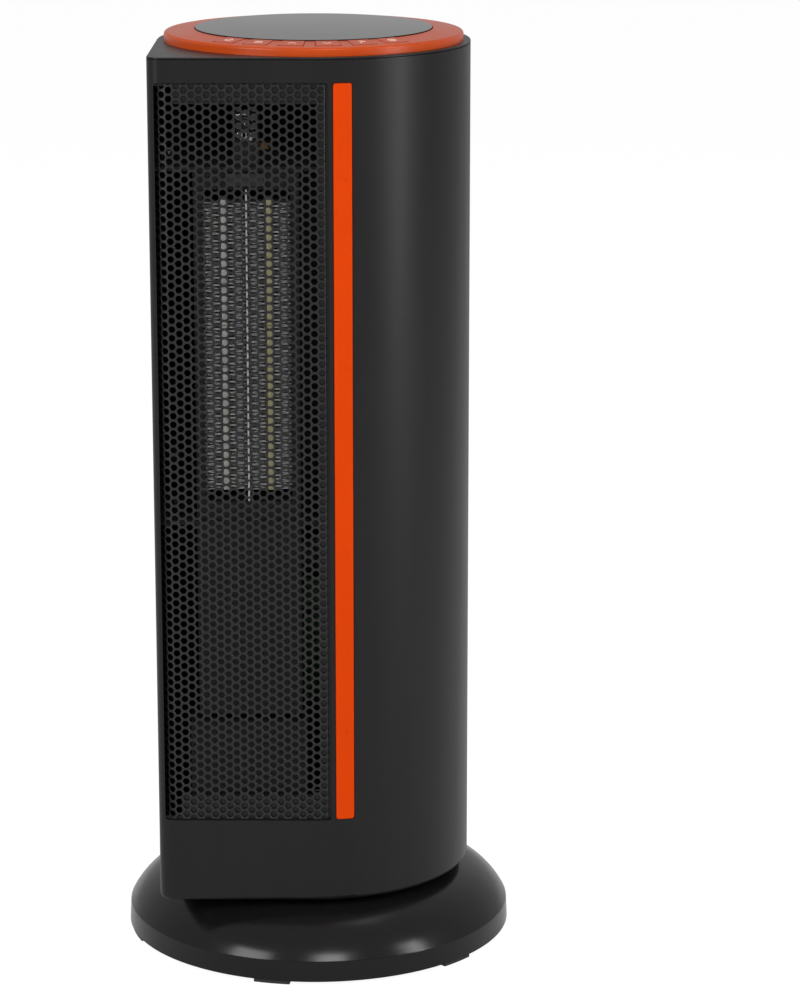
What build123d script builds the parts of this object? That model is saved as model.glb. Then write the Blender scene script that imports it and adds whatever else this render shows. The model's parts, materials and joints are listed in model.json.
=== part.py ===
from build123d import *

import os
from math import acos, asin, cos, degrees, pi, radians, sin, sqrt, tan

# Tower fan heater on a round base that swings it from side to side.
# Millimetres. The floor is z = 0, the swivel axis is the Z axis, and the front faces -Y.

os.makedirs("parts", exist_ok=True)

# Clearances
fit = 0.25            # between fixed pieces that slot together
running_fit = 0.05    # radial, between a shaft and its bush
thrust_gap = 0.1      # between flat faces that slide on each other

# Screws
screw_radius = 1.5
screw_fit = 0.05
flat_head_radius = 2.9
pan_head_radius = 2.8
pan_head_height = 1.9

# Base
base_radius = 115.2
rim_draft = 0.6
rim_top = 14.3
rim_rounding = 1.4
base_top = 39.2
dome_radius = 46.0
base_wall = 2.6
base_plate_thickness = 2.5
foot_height = 2.2
foot_length = 15.0
foot_inset = 0.8
foot_half_angle = 5.4
foot_turn = -12.4     # degrees from the front to the first foot
foot_count = 6
foot_peg_radius = 2.5
foot_peg_offset = 3.0         # inwards from the foot's middle
base_screw_inset = 27.2
base_boss_radius = 3.6
base_screw_length = 12.0
grommet_radius = 4.1
grommet_bore = 3.4
grommet_height = 9.1
grommet_flange = 6.2
grommet_flange_thickness = 3.0
grommet_depth = 5.0           # behind the base's wall
grommet_recess = 0.8          # from the base's outside to the grommet's face

# Swivel: a hollow post on the base, and a flanged bush in the tower's floor that turns on it
post_radius = 20.0
post_bore = 13.0
post_flange_radius = 33.0
post_flange_thickness = 7.0
post_screw_ring = 27.0
post_screw_count = 4
post_screw_turn = 45.0
post_screw_length = 8.5
washer_inner = 35.0
washer_width = 8.0
washer_thickness = 1.7
bush_wall = 3.0
bush_flange_radius = 46.0
bush_rise = 1.0
retaining_gap = 0.3

# Swing drive: a gear fixed on the post, and a pinion on the motor that the tower carries
gear_module = 1.5
gear_teeth = 36
pinion_teeth = 12
gear_thickness = 6.0
gear_addendum = 0.85
gear_dedendum = 1.1
gear_backlash = 0.3
pressure_angle = 22.0
gear_screw_ring = 16.5
gear_screw_count = 3
gear_screw_turn = 30.0
gear_screw_length = 12.0
pinion_shaft_radius = 3.0
pinion_shaft_length = 9.0
swing_motor_radius = 24.5
swing_motor_height = 18.0
swing_bracket_length = 78.0
swing_bracket_width = 20.0
swing_bracket_thickness = 1.6
swing_bracket_gap = 2.2
swing_ear_spacing = 28.0
swing_ear_width = 10.0
swing_ear_end = 4.5           # from an ear's screw to its end
swing_ear_thickness = 1.2
bracket_leg = 8.0
bracket_screw_grip = 5.0      # into a leg

# Tower
tower_radius = 90.5
corner_radius = 8.0
tower_bottom = 43.0
tower_top = 536.9
bottom_rounding = 3.0
housing_wall = 2.4
lip_width = 7.0
lip_thickness = 2.4
floor_thickness = 3.0
housing_seam = 15.0
floor_screw_inset = 6.6
floor_screw_length = 7.0
housing_boss_inset = 6.3
housing_boss_radius = 4.3
housing_boss_length = 16.0
housing_screw_length = 17.0
housing_screw_head_gap = 7.0
head_well_gap = 0.4
housing_boss_shares = (0.12, 0.5, 0.87)       # of the tower's height

# Front grille: a perforated sheet in a shallow pocket, with its left edge bent back
grille_side_margin = 4.1
grille_width = 96.9
grille_bottom_margin = 49.7
grille_top_margin = 14.1
grille_corner = 2.0
pocket_depth = 2.5
pocket_ledge = 1.7
pocket_side_ledge = 6.0
pocket_bottom_ledge = 15.0
pocket_top_ledge = 12.0
sheet_thickness = 0.8
sheet_recess = 1.1
sheet_side_gap = 1.5
sheet_end_gap = 0.5
sheet_bend_width = 8.0
sheet_bend_radius = 9.0
sheet_bend_angle = 60.0
sheet_flange_radius = 1.2
perforation_radius = 4.9
perforation_pitch = 11.3

# Accent strip beside the grille
strip_offset = 2.7
strip_width = 10.4
strip_bottom_margin = 50.3
strip_top_margin = 14.3
strip_proud = 0.6
strip_groove = 1.4
strip_gap = 0.35
strip_corner = 1.6
strip_edge = 0.5
strip_peg_radius = 1.5
strip_peg_count = 4
strip_peg_length = 2.6

# Top cover, ring, keys and display window
cover_edge = 1.0
cover_thickness = 2.0
cover_rounding = 0.6
seam_gap = 0.4
skirt_height = 5.0
skirt_thickness = 1.8
ring_radius = 86.4
ring_inner = 68.8
ring_outer_height = 5.0
ring_inner_height = 6.6
ring_rounding = 1.8
key_names = ("key_power", "key_heat", "key_up", "key_down", "key_swing", "key_timer")
key_pitch_angle = 14.9
key_half_angle = 5.0
key_inner_gap = 0.3
key_outer_margin = 4.75
key_clearance = 0.35
key_proud = 0.25
key_travel = 0.8
key_stem_radius = 2.0
key_corner = 1.5
window_gap = 0.5
window_seat_height = 4.1
window_edge_height = 7.2
window_crown = 0.6
window_seat_radius = 62.0
window_seat_width = 4.0

# Control board, display and remote receiver
board_thickness = 1.6
control_board_drop = 15.0     # from the top cover's underside to the board's upper face
control_board_radius = 80.5
control_board_back = 22.0
control_boss_radius = 3.5
control_boss_x = 52.0
control_boss_front = -38.0
control_boss_back = 12.0
control_screw_length = 9.0
display_length = 50.0
display_width = 20.0
display_gap = 0.8
switch_side = 6.0
switch_height = 3.5
switch_button_radius = 1.7
switch_button_height = 1.6
receiver_x = -35.5
receiver_drop = 38.9          # from the tower's top to the receiver's centre
receiver_width = 14.0
receiver_height = 17.0
receiver_depth = 5.0
receiver_setback = 12.5
receiver_post_thickness = 4.0
receiver_can = (7.0, 3.0, 8.0)
receiver_lens_radius = 2.4
receiver_lens_rise = 1.0

# Ceramic heater
heater_width = 52.0
heater_height = 182.5
heater_depth = 15.0
heater_x_offset = 1.8         # from the middle of the grille
heater_top_drop = 74.0        # from the tower's top
heater_setback = 11.5         # from the tower's front
heater_plate = 1.0
heater_stone = 3.2
stone_top_margin = 6.4
stone_bottom_margin = 8.0
heater_gap = 0.1
fin_pitch = 5.2
fin_thickness = 0.7
frame_border = 3.8
frame_end_border = 9.6
frame_front_lip = 1.0
frame_rear_lip = 2.0
frame_lip_reach = 1.2
cutout_length = 20.0
cutout_height = 7.0
cutout_thickness = 3.4

# Blower
shelf_thickness = 2.5
shelf_back = 34.0
shelf_front_gap = 8.0
shelf_corner_depth = 20.0
lug_width = 9.0
lug_depth = 20.0
lug_thickness = 6.0
lug_y = -30.0
shelf_screw_length = 7.0
fan_x_offset = 8.0            # from the middle of the heater
fan_gap = 25.0                # from the heater frame to the impeller
fan_radius = 31.0
fan_end_gap = 4.0
fan_disc = 1.6
fan_blade_count = 20
fan_blade_depth = 8.0
fan_blade_thickness = 1.0
fan_hub_radius = 7.0
fan_hub_height = 9.0
scroll_gap = 5.0
scroll_wall = 1.6
shaft_radius = 3.0
motor_radius = 29.0
motor_height = 34.0
motor_bell_radius = 19.0
motor_bell_height = 8.0
motor_ear_spacing = 42.0
motor_screw_length = 6.0
top_bush_radius = 6.5
top_bush_flange = 8.5
top_bush_height = 6.0

# Covers that show behind the lower part of the grille
motor_cover_height = 113.0
motor_cover_thickness = 2.0
motor_cover_depth = 32.0
motor_cover_screw_x = 18.0
motor_cover_screw_length = 5.0
wiring_box_left = -71.5
wiring_box_right = -3.0
wiring_box_front_gap = 6.5    # from the tower's front
wiring_box_depth = 24.0
wiring_box_height = 102.5
wiring_box_wall = 1.8
wiring_box_lug = 8.0
wiring_box_screw_length = 5.0

# Rear: louvred intake cover, dust filter and main switch
intake_half_angle = 38.0
intake_bottom_drop = 280.0
intake_top_drop = 52.0
intake_ledge = 4.0
intake_frame_depth = 2.6
louvre_height = 4.0
louvre_pitch = 8.4
louvre_columns = 3
louvre_half_angle = 10.6
louvre_pitch_angle = 23.4
filter_thickness = 1.2
filter_bar = 2.0
filter_cell_rows = 9
filter_cell_columns = 4
switch_z = 38.0               # above the tower's underside
switch_body_width = 19.2
switch_body_height = 13.0
switch_body_depth = 13.0
switch_bezel_width = 21.5
switch_bezel_height = 15.5
switch_bezel_thickness = 1.8
switch_pocket_depth = 2.1
switch_pad = 2.4
rocker_width = 15.6
rocker_height = 10.2
rocker_pivot_radius = 1.2
rocker_tilt = 8.0
rocker_gap = 0.3
rocker_foot_drop = 3.4        # from the pivot to the rocker's inner end
rocker_foot_half = 1.8
rocker_shoulder = 1.6         # from the pivot to the bezel's level
rocker_shoulder_inset = 0.5
rocker_tip = 4.4
rocker_tip_inset = 0.7
rocker_hollow = 3.2
rocker_pivot_depth = 1.0      # below the switch's face
rocker_well = 6.0             # below the bezel

# Power board and tip-over switch
power_board_width = 92.0
power_board_height = 104.0
power_board_z = 78.0          # above the tower's underside
power_board_y = 54.0
power_boss_x = 36.0
power_boss_radius = 3.5
power_boss_margin = 8.0
power_screw_length = 7.0
relay_places = ((-24, 22), (-2, 22), (20, 22))
relay_size = (15.0, 19.0, 16.0)
choke_place = (22, -16)
choke_size = (30.0, 26.0, 22.0)
can_place = (-16, -8)
can_radius = 9.0
small_can_places = ((-30, -30), (-14, -32))
small_can_radius = 5.0
can_height = 12.0
tip_x = 52.0
tip_y = -34.0
tip_width = 22.0
tip_depth = 14.0
tip_height = 17.0
tip_lug = 8.0
tip_lug_thickness = 2.4
tip_screw_length = 5.0

# Places that follow from the sizes
rim_radius = base_radius - rim_draft
dome_z = base_top - dome_radius
dome_r = rim_radius - sqrt(dome_radius**2 - (rim_top - dome_z) ** 2)
base_plate_top = foot_height + base_plate_thickness
base_plate_radius = base_radius - base_wall - fit
base_screw_ring = base_radius - base_screw_inset
foot_angles = [-90 + foot_turn + i * 360 / foot_count for i in range(foot_count)]
foot_outer = base_radius - foot_inset
foot_middle = foot_outer - foot_length / 2
base_screw_angles = [angle + 180 / foot_count for angle in foot_angles]
post_screw_angles = [post_screw_turn + i * 360 / post_screw_count for i in range(post_screw_count)]
gear_screw_angles = [gear_screw_turn + i * 360 / gear_screw_count for i in range(gear_screw_count)]

floor_bottom = tower_bottom + lip_thickness
floor_top = floor_bottom + floor_thickness
bush_bottom = base_top + washer_thickness + thrust_gap
bush_top = floor_top + bush_rise
post_bottom = base_top - base_wall - post_flange_thickness
post_top = bush_top + retaining_gap
gear_top = post_top + gear_thickness
pinion_y = gear_module * (gear_teeth + pinion_teeth) / 2 + gear_backlash / 2
swing_bracket_bottom = gear_top + swing_bracket_gap
swing_bracket_top = swing_bracket_bottom + swing_bracket_thickness
bracket_leg_x = (swing_bracket_length - bracket_leg) / 2
bracket_leg_points = [(side * bracket_leg_x, pinion_y) for side in (-1, 1)]
swing_ear_points = [(side * swing_ear_spacing, pinion_y) for side in (-1, 1)]

shell_top = tower_top - cover_edge - seam_gap
cover_bottom = tower_top - cover_thickness
inner_radius = tower_radius - housing_wall
boss_x = tower_radius - housing_boss_inset
boss_heights = [tower_bottom + share * (tower_top - tower_bottom) for share in housing_boss_shares]

grille_left = -tower_radius + grille_side_margin
grille_right = grille_left + grille_width
grille_bottom = tower_bottom + grille_bottom_margin
grille_top = tower_top - grille_top_margin
grille_x = (grille_left + grille_right) / 2
grille_z = (grille_bottom + grille_top) / 2
grille_height = grille_top - grille_bottom
sheet_front = -tower_radius + sheet_recess
pocket_floor = -tower_radius + pocket_depth

strip_left = grille_right + strip_offset
strip_bottom = tower_bottom + strip_bottom_margin
strip_height = tower_top - strip_top_margin - strip_bottom
strip_x = strip_left + strip_width / 2
strip_z = strip_bottom + strip_height / 2
groove_radius = tower_radius - strip_groove

key_inner = ring_inner + key_inner_gap
key_outer = ring_radius - key_outer_margin
key_middle = (key_inner + key_outer) / 2
key_bottom = tower_top + key_travel + 0.5
key_angles = [-90 + key_pitch_angle * (i - (len(key_names) - 1) / 2) for i in range(len(key_names))]
board_top = cover_bottom - control_board_drop
board_bottom = board_top - board_thickness
switch_top = board_top + switch_height + switch_button_height
display_y = -2.0

heater_x = grille_x + heater_x_offset
heater_front = -tower_radius + heater_setback
heater_back = heater_front + heater_depth
heater_top = tower_top - heater_top_drop
heater_bottom = heater_top - heater_height
frame_front = heater_front - frame_front_lip
frame_back = heater_back + frame_rear_lip
frame_left = heater_x - heater_width / 2 - frame_border
frame_right = heater_x + heater_width / 2 + frame_border
duct_bottom = heater_bottom - frame_end_border
duct_top_z = heater_top + frame_end_border
duct_height = duct_top_z - duct_bottom
fan_x = heater_x + fan_x_offset
fan_y = frame_back + fan_gap + fan_radius
fan_bottom = duct_bottom + fan_end_gap
fan_top = duct_top_z - fan_end_gap
scroll_radius = fan_radius + scroll_gap
motor_top = duct_bottom - shelf_thickness
motor_bottom = motor_top - motor_height
shelf_top = duct_top_z + shelf_thickness

intake_bottom = tower_top - intake_bottom_drop
intake_top = tower_top - intake_top_drop
intake_height = intake_top - intake_bottom
filter_outer = inner_radius - intake_frame_depth - fit
main_switch_z = tower_bottom + switch_z
switch_face = sqrt(tower_radius**2 - (switch_bezel_width / 2 + 2) ** 2) - switch_pocket_depth + 1.4
power_board_bottom = tower_bottom + power_board_z
power_board_top = power_board_bottom + power_board_height

# Stands a solid on its plane
on_plane = (Align.CENTER, Align.CENTER, Align.MIN)


def around(radius, angles, height):
    """Points on a circle about the Z axis, at the given angles in degrees."""
    return [(radius * cos(radians(a)), radius * sin(radians(a)), height) for a in angles]


def facing(points, direction):
    """Planes at the points whose normal is the direction."""
    return [Plane(origin=point, z_dir=direction) for point in points]


def ring_sector(inner, outer, middle, half, centre=(0, 0)):
    """Sector of a ring, from middle - half to middle + half degrees."""
    with BuildSketch() as sector:
        with BuildLine():
            near = CenterArc(centre, inner, middle - half, 2 * half)
            far = CenterArc(centre, outer, middle - half, 2 * half)
            Line(near @ 0, far @ 0)
            Line(near @ 1, far @ 1)
        make_face()
    return sector.sketch


def disc(radius):
    """A full circle about the Z axis."""
    with BuildSketch() as outline:
        Circle(radius)
    return outline.sketch


def prism(outline, low, high):
    """The outline on the XY plane, extruded from one height to another."""
    with BuildPart() as body:
        with BuildSketch(Plane.XY.offset(low)):
            add(outline)
        extrude(amount=high - low)
    return body.part


def slab(x_low, x_high, y_low, y_high, z_low, z_high):
    """A block between two corners."""
    with BuildPart() as body:
        with Locations(((x_low + x_high) / 2, (y_low + y_high) / 2, (z_low + z_high) / 2)):
            Box(x_high - x_low, y_high - y_low, z_high - z_low)
    return body.part


def upright_panel(x, z, width, height, corner, front, back):
    """A panel with rounded corners that faces the front, between two depths."""
    with BuildPart() as body:
        with BuildSketch(Plane.XZ.offset(-back)):
            with Locations((x, z)):
                RectangleRounded(width, height, corner)
        extrude(amount=back - front)
    return body.part


def flat_screw(length):
    """Countersunk screw that points down, with the top of its head at the origin."""
    head_height = flat_head_radius - screw_radius
    with BuildPart() as screw:
        with Locations((0, 0, -head_height / 2)):
            Cone(screw_radius, flat_head_radius, head_height)
        with Locations((0, 0, -(length + head_height) / 2)):
            Cylinder(screw_radius, length - head_height)
    return screw.part


def pan_screw(length):
    """Pan-head screw that points down, with the underside of its head at the origin."""
    with BuildPart() as screw:
        with Locations((0, 0, pan_head_height / 2)):
            Cylinder(pan_head_radius, pan_head_height)
        fillet(screw.edges().sort_by(Axis.Z)[-1], pan_head_height / 3)
        with Locations((0, 0, -length / 2)):
            Cylinder(screw_radius, length)
    return screw.part


def screw_hole(depth):
    """Hole for a screw's shank, drilled down from each location."""
    Hole(screw_radius + screw_fit, depth=depth)


def flat_screw_hole(depth=None):
    """Hole with a countersink for a flat-head screw, right through where no depth is given."""
    CounterSinkHole(
        screw_radius + screw_fit, flat_head_radius + screw_fit, depth=depth, counter_sink_angle=90
    )


def boss_planes(y, direction):
    """Planes across the housing's bosses at one depth, facing forwards (-1) or backwards (1)."""
    return [
        Plane((x, y, z), z_dir=(0, direction, 0)) for z in boss_heights for x in (-boss_x, boss_x)
    ]


def at_height(points, z):
    """Plan points lifted to one height."""
    return [(x, y, z) for x, y in points]


def dome_body(inset):
    """The base's turned shape, rim and dome, drawn in by inset except at its open underside."""
    corner_z = dome_z + sqrt((dome_radius - inset) ** 2 - (rim_radius - inset - dome_r) ** 2)
    start = Vector(rim_radius - inset, corner_z)
    start_angle = degrees(acos((rim_radius - inset - dome_r) / (dome_radius - inset)))
    halfway = radians((start_angle + 90) / 2)
    reach = dome_radius - inset
    middle = Vector(dome_r + reach * cos(halfway), dome_z + reach * sin(halfway))
    end = Vector(dome_r, base_top - inset)
    with BuildPart() as body:
        with BuildSketch(Plane.XZ):
            with BuildLine():
                Polyline((0, base_top - inset), (0, foot_height), (base_radius - inset, foot_height), start)
                ThreePointArc(start, middle, end)
                Line(end, (0, base_top - inset))
            make_face()
        revolve(axis=Axis.Z)
    return body.part


def tower_plan(inset):
    """The tower's plan: a circle with one squared corner at the front left, drawn in by inset."""
    reach = tower_radius - inset
    with BuildSketch() as plan:
        with BuildLine():
            CenterArc((0, 0), reach, -90, 270)
            FilletPolyline(
                (-reach, 0), (-reach, -reach), (0, -reach), radius=max(corner_radius - inset, 0.5)
            )
        make_face()
    return plan.sketch


def tower_block(inset, low, high):
    """The tower's plan, drawn in by inset, as a solid between two heights."""
    return prism(tower_plan(inset), low, high)


def tower_shell():
    """The whole casing before it is parted: walls, rounded foot and an inward lip."""
    with BuildPart() as shell:
        add(tower_block(0, tower_bottom, shell_top))
        fillet(shell.edges().group_by(Axis.Z)[0], bottom_rounding)
        add(tower_block(housing_wall, floor_bottom, shell_top + 1), mode=Mode.SUBTRACT)
        add(tower_block(housing_wall + lip_width, tower_bottom - 1, floor_bottom + 1), mode=Mode.SUBTRACT)
    return shell.part


def gear_outline(teeth, first_angle):
    """Involute gear outline with a tooth's middle at first_angle, in degrees."""
    pitch = teeth * gear_module / 2
    ground = pitch * cos(radians(pressure_angle))
    tip = pitch + gear_addendum * gear_module
    root = pitch - gear_dedendum * gear_module
    start = max(root, ground)
    involute = tan(radians(pressure_angle)) - radians(pressure_angle)
    half_tooth = pi / (2 * teeth) - gear_backlash / (2 * pitch)
    flank = []
    for step in range(4):
        radius = start + (tip - start) * step / 3
        roll = acos(min(1, ground / radius))
        flank.append((radius, half_tooth + involute - (tan(roll) - roll)))
    flank.insert(0, (root, flank[0][1]))
    if start == root:
        flank.pop(0)
    points = []
    for tooth in range(teeth):
        middle = radians(first_angle) + 2 * pi * tooth / teeth
        side = [(radius, middle - angle) for radius, angle in flank]
        side += [(radius, middle + angle) for radius, angle in reversed(flank)]
        points += [(radius * cos(angle), radius * sin(angle)) for radius, angle in side]
    with BuildSketch() as outline:
        with BuildLine():
            Polyline(*points, close=True)
        make_face()
    return outline.sketch


def finish(piece, name):
    """Labels a finished piece and writes it."""
    piece.part.label = name
    export_step(piece.part, f"parts/{name}.step")


# Base cover: rim and dome in one moulding, with screw bosses inside
base_bosses = []
for point in around(base_screw_ring, base_screw_angles, base_plate_top):
    with BuildPart() as boss:
        with BuildSketch(Plane.XY.offset(base_plate_top)):
            with Locations(point[:2]):
                Circle(base_boss_radius)
        extrude(amount=base_top - base_plate_top)
        add(dome_body(base_wall / 2), mode=Mode.INTERSECT)
    base_bosses.append(boss.part)
grommet_plane = Plane(origin=(0, base_radius + 1, grommet_height), x_dir=(-1, 0, 0), z_dir=(0, 1, 0))
grommet_reach = base_wall + grommet_depth

with BuildPart() as base_cover:
    add(dome_body(0))
    fillet(base_cover.edges().sort_by(lambda edge: abs(edge.center().Z - rim_top))[0], rim_rounding)
    add(dome_body(base_wall), mode=Mode.SUBTRACT)
    add(base_bosses)
    with Locations((0, 0, base_top)):
        Hole(post_radius + fit)
    post_screw_points = around(post_screw_ring, post_screw_angles, base_top)
    with Locations(*post_screw_points):
        flat_screw_hole()
    with Locations(*facing(around(base_screw_ring, base_screw_angles, base_plate_top), (0, 0, -1))):
        screw_hole(base_screw_length)
    with Locations(grommet_plane):
        Hole(grommet_radius + fit / 2, depth=grommet_reach + 1)
finish(base_cover, "base_cover")

with BuildPart() as base_plate:
    with BuildSketch(Plane.XY.offset(foot_height)):
        Circle(base_plate_radius)
    extrude(amount=base_plate_thickness)
    with Locations(*facing(around(base_screw_ring, base_screw_angles, foot_height), (0, 0, -1))):
        flat_screw_hole()
    with Locations(*around(foot_middle - foot_peg_offset, foot_angles, base_plate_top)):
        Hole(foot_peg_radius + fit)
    # notch that clears the cord grommet
    with BuildSketch(Plane.XY.offset(foot_height)):
        with Locations((0, base_plate_radius)):
            Rectangle(2 * grommet_flange + 1, 16)
    extrude(amount=base_plate_thickness, mode=Mode.SUBTRACT)
finish(base_plate, "base_plate")

with BuildPart() as base_feet:
    with BuildSketch():
        for angle in foot_angles:
            add(ring_sector(foot_outer - foot_length, foot_outer, angle, foot_half_angle))
    extrude(amount=foot_height)
    with BuildSketch(Plane.XY.offset(foot_height)):
        with Locations(*around(foot_middle - foot_peg_offset, foot_angles, 0)):
            Circle(foot_peg_radius)
    extrude(amount=base_plate_thickness)
finish(base_feet, "base_feet")

base_screw = flat_screw(base_screw_length)
with BuildPart() as base_screws:
    with Locations(*facing(around(base_screw_ring, base_screw_angles, foot_height), (0, 0, -1))):
        add(base_screw)
finish(base_screws, "base_screws")

with BuildPart() as cord_grommet:
    with BuildSketch(grommet_plane.offset(-grommet_reach)):
        Circle(grommet_radius)
    extrude(amount=grommet_reach - 1 - grommet_recess)
    with BuildSketch(grommet_plane.offset(-grommet_reach)):
        Rectangle(2 * grommet_flange, 2 * (grommet_height - base_plate_top - fit))
    extrude(amount=grommet_flange_thickness)
    with Locations(grommet_plane):
        Hole(grommet_bore)
finish(cord_grommet, "cord_grommet")

# Swivel post, its washer, and the bush that turns on it
with BuildPart() as swivel_post:
    with BuildSketch(Plane.XY.offset(post_bottom)):
        Circle(post_flange_radius)
    extrude(amount=post_flange_thickness)
    with BuildSketch(Plane.XY.offset(post_bottom)):
        Circle(post_radius)
    extrude(amount=post_top - post_bottom)
    with Locations((0, 0, post_top)):
        Hole(post_bore)
    with Locations(*around(post_screw_ring, post_screw_angles, base_top - base_wall)):
        screw_hole(post_flange_thickness)
    with Locations(*around(gear_screw_ring, gear_screw_angles, post_top)):
        screw_hole(gear_screw_length)
finish(swivel_post, "swivel_post")

with BuildPart() as thrust_washer:
    with BuildSketch(Plane.XY.offset(base_top)):
        Circle(washer_inner + washer_width)
        Circle(washer_inner, mode=Mode.SUBTRACT)
    extrude(amount=washer_thickness)
finish(thrust_washer, "thrust_washer")

with BuildPart() as swivel_bush:
    with BuildSketch(Plane.XY.offset(bush_bottom)):
        Circle(bush_flange_radius)
    extrude(amount=floor_bottom - bush_bottom)
    with BuildSketch(Plane.XY.offset(bush_bottom)):
        Circle(post_radius + bush_wall)
    extrude(amount=bush_top - bush_bottom)
    with Locations((0, 0, bush_top)):
        Hole(post_radius + running_fit)
finish(swivel_bush, "swivel_bush")

with BuildPart() as swing_gear:
    with BuildSketch(Plane.XY.offset(post_top)):
        add(gear_outline(gear_teeth, 90))
    extrude(amount=gear_thickness)
    with Locations((0, 0, gear_top)):
        Hole(post_bore)
    with Locations(*around(gear_screw_ring, gear_screw_angles, gear_top)):
        screw_hole(gear_thickness)
finish(swing_gear, "swing_gear")

post_screw = flat_screw(post_screw_length)
gear_screw = pan_screw(gear_screw_length)
with BuildPart() as swivel_screws:
    with Locations(*post_screw_points):
        add(post_screw)
    with Locations(*around(gear_screw_ring, gear_screw_angles, gear_top)):
        add(gear_screw)
finish(swivel_screws, "swivel_screws")

# Tower floor
floor_screw_reach = tower_radius - floor_screw_inset
floor_screw_points = around(floor_screw_reach, (20, 90, 160, -45), tower_bottom)
floor_screw_points.append((-floor_screw_reach, -floor_screw_reach, tower_bottom))
tip_lug_point = (tip_x - (tip_width + tip_lug) / 2, tip_y, floor_top)
wiring_box_front = -tower_radius + wiring_box_front_gap
wiring_box_y = wiring_box_front + wiring_box_depth / 2
wiring_box_lugs = (wiring_box_left - wiring_box_lug / 2, wiring_box_right + wiring_box_lug / 2)
with BuildPart() as tower_floor:
    add(tower_block(housing_wall + fit, floor_bottom, floor_top))
    with Locations((0, 0, floor_top)):
        Hole(post_radius + bush_wall + fit)
    with Locations(*[(x, y, floor_top) for x, y, _ in floor_screw_points]):
        Hole(screw_radius + screw_fit)
    with Locations((tip_lug_point[0], tip_lug_point[1], floor_top)):
        Hole(screw_radius + screw_fit)
    with Locations(*at_height(bracket_leg_points, floor_top)):
        Hole(screw_radius + screw_fit)
    with Locations(*[(x, wiring_box_y, floor_top) for x in wiring_box_lugs]):
        Hole(screw_radius + screw_fit)
finish(tower_floor, "tower_floor")

floor_screw = flat_screw(floor_screw_length)
with BuildPart() as floor_screws:
    with Locations(*facing(floor_screw_points, (0, 0, -1))):
        add(floor_screw)
finish(floor_screws, "floor_screws")

# Swing motor, its bracket and the pinion
with BuildPart() as swing_bracket:
    add(
        slab(
            -swing_bracket_length / 2, swing_bracket_length / 2,
            pinion_y - swing_bracket_width / 2, pinion_y + swing_bracket_width / 2,
            swing_bracket_bottom, swing_bracket_top,
        )
    )
    with Locations(*at_height(bracket_leg_points, floor_top)):
        Box(bracket_leg, swing_bracket_width, swing_bracket_bottom - floor_top, align=on_plane)
    with Locations((0, pinion_y, swing_bracket_top)):
        Hole(pinion_shaft_radius + 2, depth=swing_bracket_thickness)
    with Locations(*at_height(swing_ear_points, swing_bracket_top)):
        screw_hole(swing_bracket_thickness)
    with Locations(*facing(at_height(bracket_leg_points, floor_top), (0, 0, -1))):
        screw_hole(bracket_screw_grip + 1)
finish(swing_bracket, "swing_bracket")

ear_length = 2 * (swing_ear_spacing + swing_ear_end)
swing_can_bottom = swing_bracket_top
with BuildPart() as swing_motor:
    with BuildSketch(Plane.XY.offset(swing_can_bottom)):
        with Locations((0, pinion_y)):
            Circle(swing_motor_radius)
    extrude(amount=swing_motor_height)
    fillet(swing_motor.edges().group_by(Axis.Z)[-1], 1.5)
    with BuildSketch(Plane.XY.offset(swing_can_bottom)):
        with Locations((0, pinion_y)):
            SlotOverall(ear_length, swing_ear_width)
    extrude(amount=swing_ear_thickness)
    with Locations((0, pinion_y, swing_can_bottom)):
        Cylinder(pinion_shaft_radius + running_fit, 2 * pinion_shaft_length, mode=Mode.SUBTRACT)
    with Locations(*at_height(swing_ear_points, swing_can_bottom + swing_ear_thickness)):
        screw_hole(swing_ear_thickness)
finish(swing_motor, "swing_motor")

pinion_top = post_top + gear_thickness
with BuildPart() as swing_pinion:
    with BuildSketch(Plane((0, pinion_y, post_top))):
        add(gear_outline(pinion_teeth, -90 + 180 / pinion_teeth))
    extrude(amount=gear_thickness)
    with BuildSketch(Plane((0, pinion_y, pinion_top))):
        Circle(pinion_shaft_radius)
    extrude(amount=swing_can_bottom + pinion_shaft_length - thrust_gap - pinion_top)
finish(swing_pinion, "swing_pinion")

swing_screw_length = swing_ear_thickness + swing_bracket_thickness + 1.4
swing_screw = pan_screw(swing_screw_length)
bracket_screw = pan_screw(floor_thickness + bracket_screw_grip)
with BuildPart() as swing_screws:
    with Locations(*at_height(swing_ear_points, swing_can_bottom + swing_ear_thickness)):
        add(swing_screw)
    with Locations(*facing(at_height(bracket_leg_points, floor_bottom), (0, 0, -1))):
        add(bracket_screw)
finish(swing_screws, "swing_screws")

# Front housing
lug_low = motor_top - lug_thickness
top_lug_low = duct_top_z - lug_thickness
left_lug = (-tower_radius + 1, -inner_radius + lug_width)
right_lug = (inner_radius - lug_width - 5, tower_radius - 1)
shelf_screw_points = [
    (-inner_radius + lug_width / 2 + 1, lug_y), (inner_radius - lug_width / 2 - 4.5, lug_y)
]
strip_pocket = upright_panel(
    strip_x, strip_z, strip_width + 2 * strip_gap, strip_height + 2 * strip_gap,
    strip_corner + strip_gap, -tower_radius - 2, 0,
)
strip_peg_points = [
    (strip_x, strip_bottom + strip_height * (i + 0.5) / strip_peg_count) for i in range(strip_peg_count)
]
with BuildPart() as groove_cut:
    add(strip_pocket)
    add(prism(disc(groove_radius), strip_bottom - 2, strip_bottom + strip_height + 2), mode=Mode.SUBTRACT)

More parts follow.
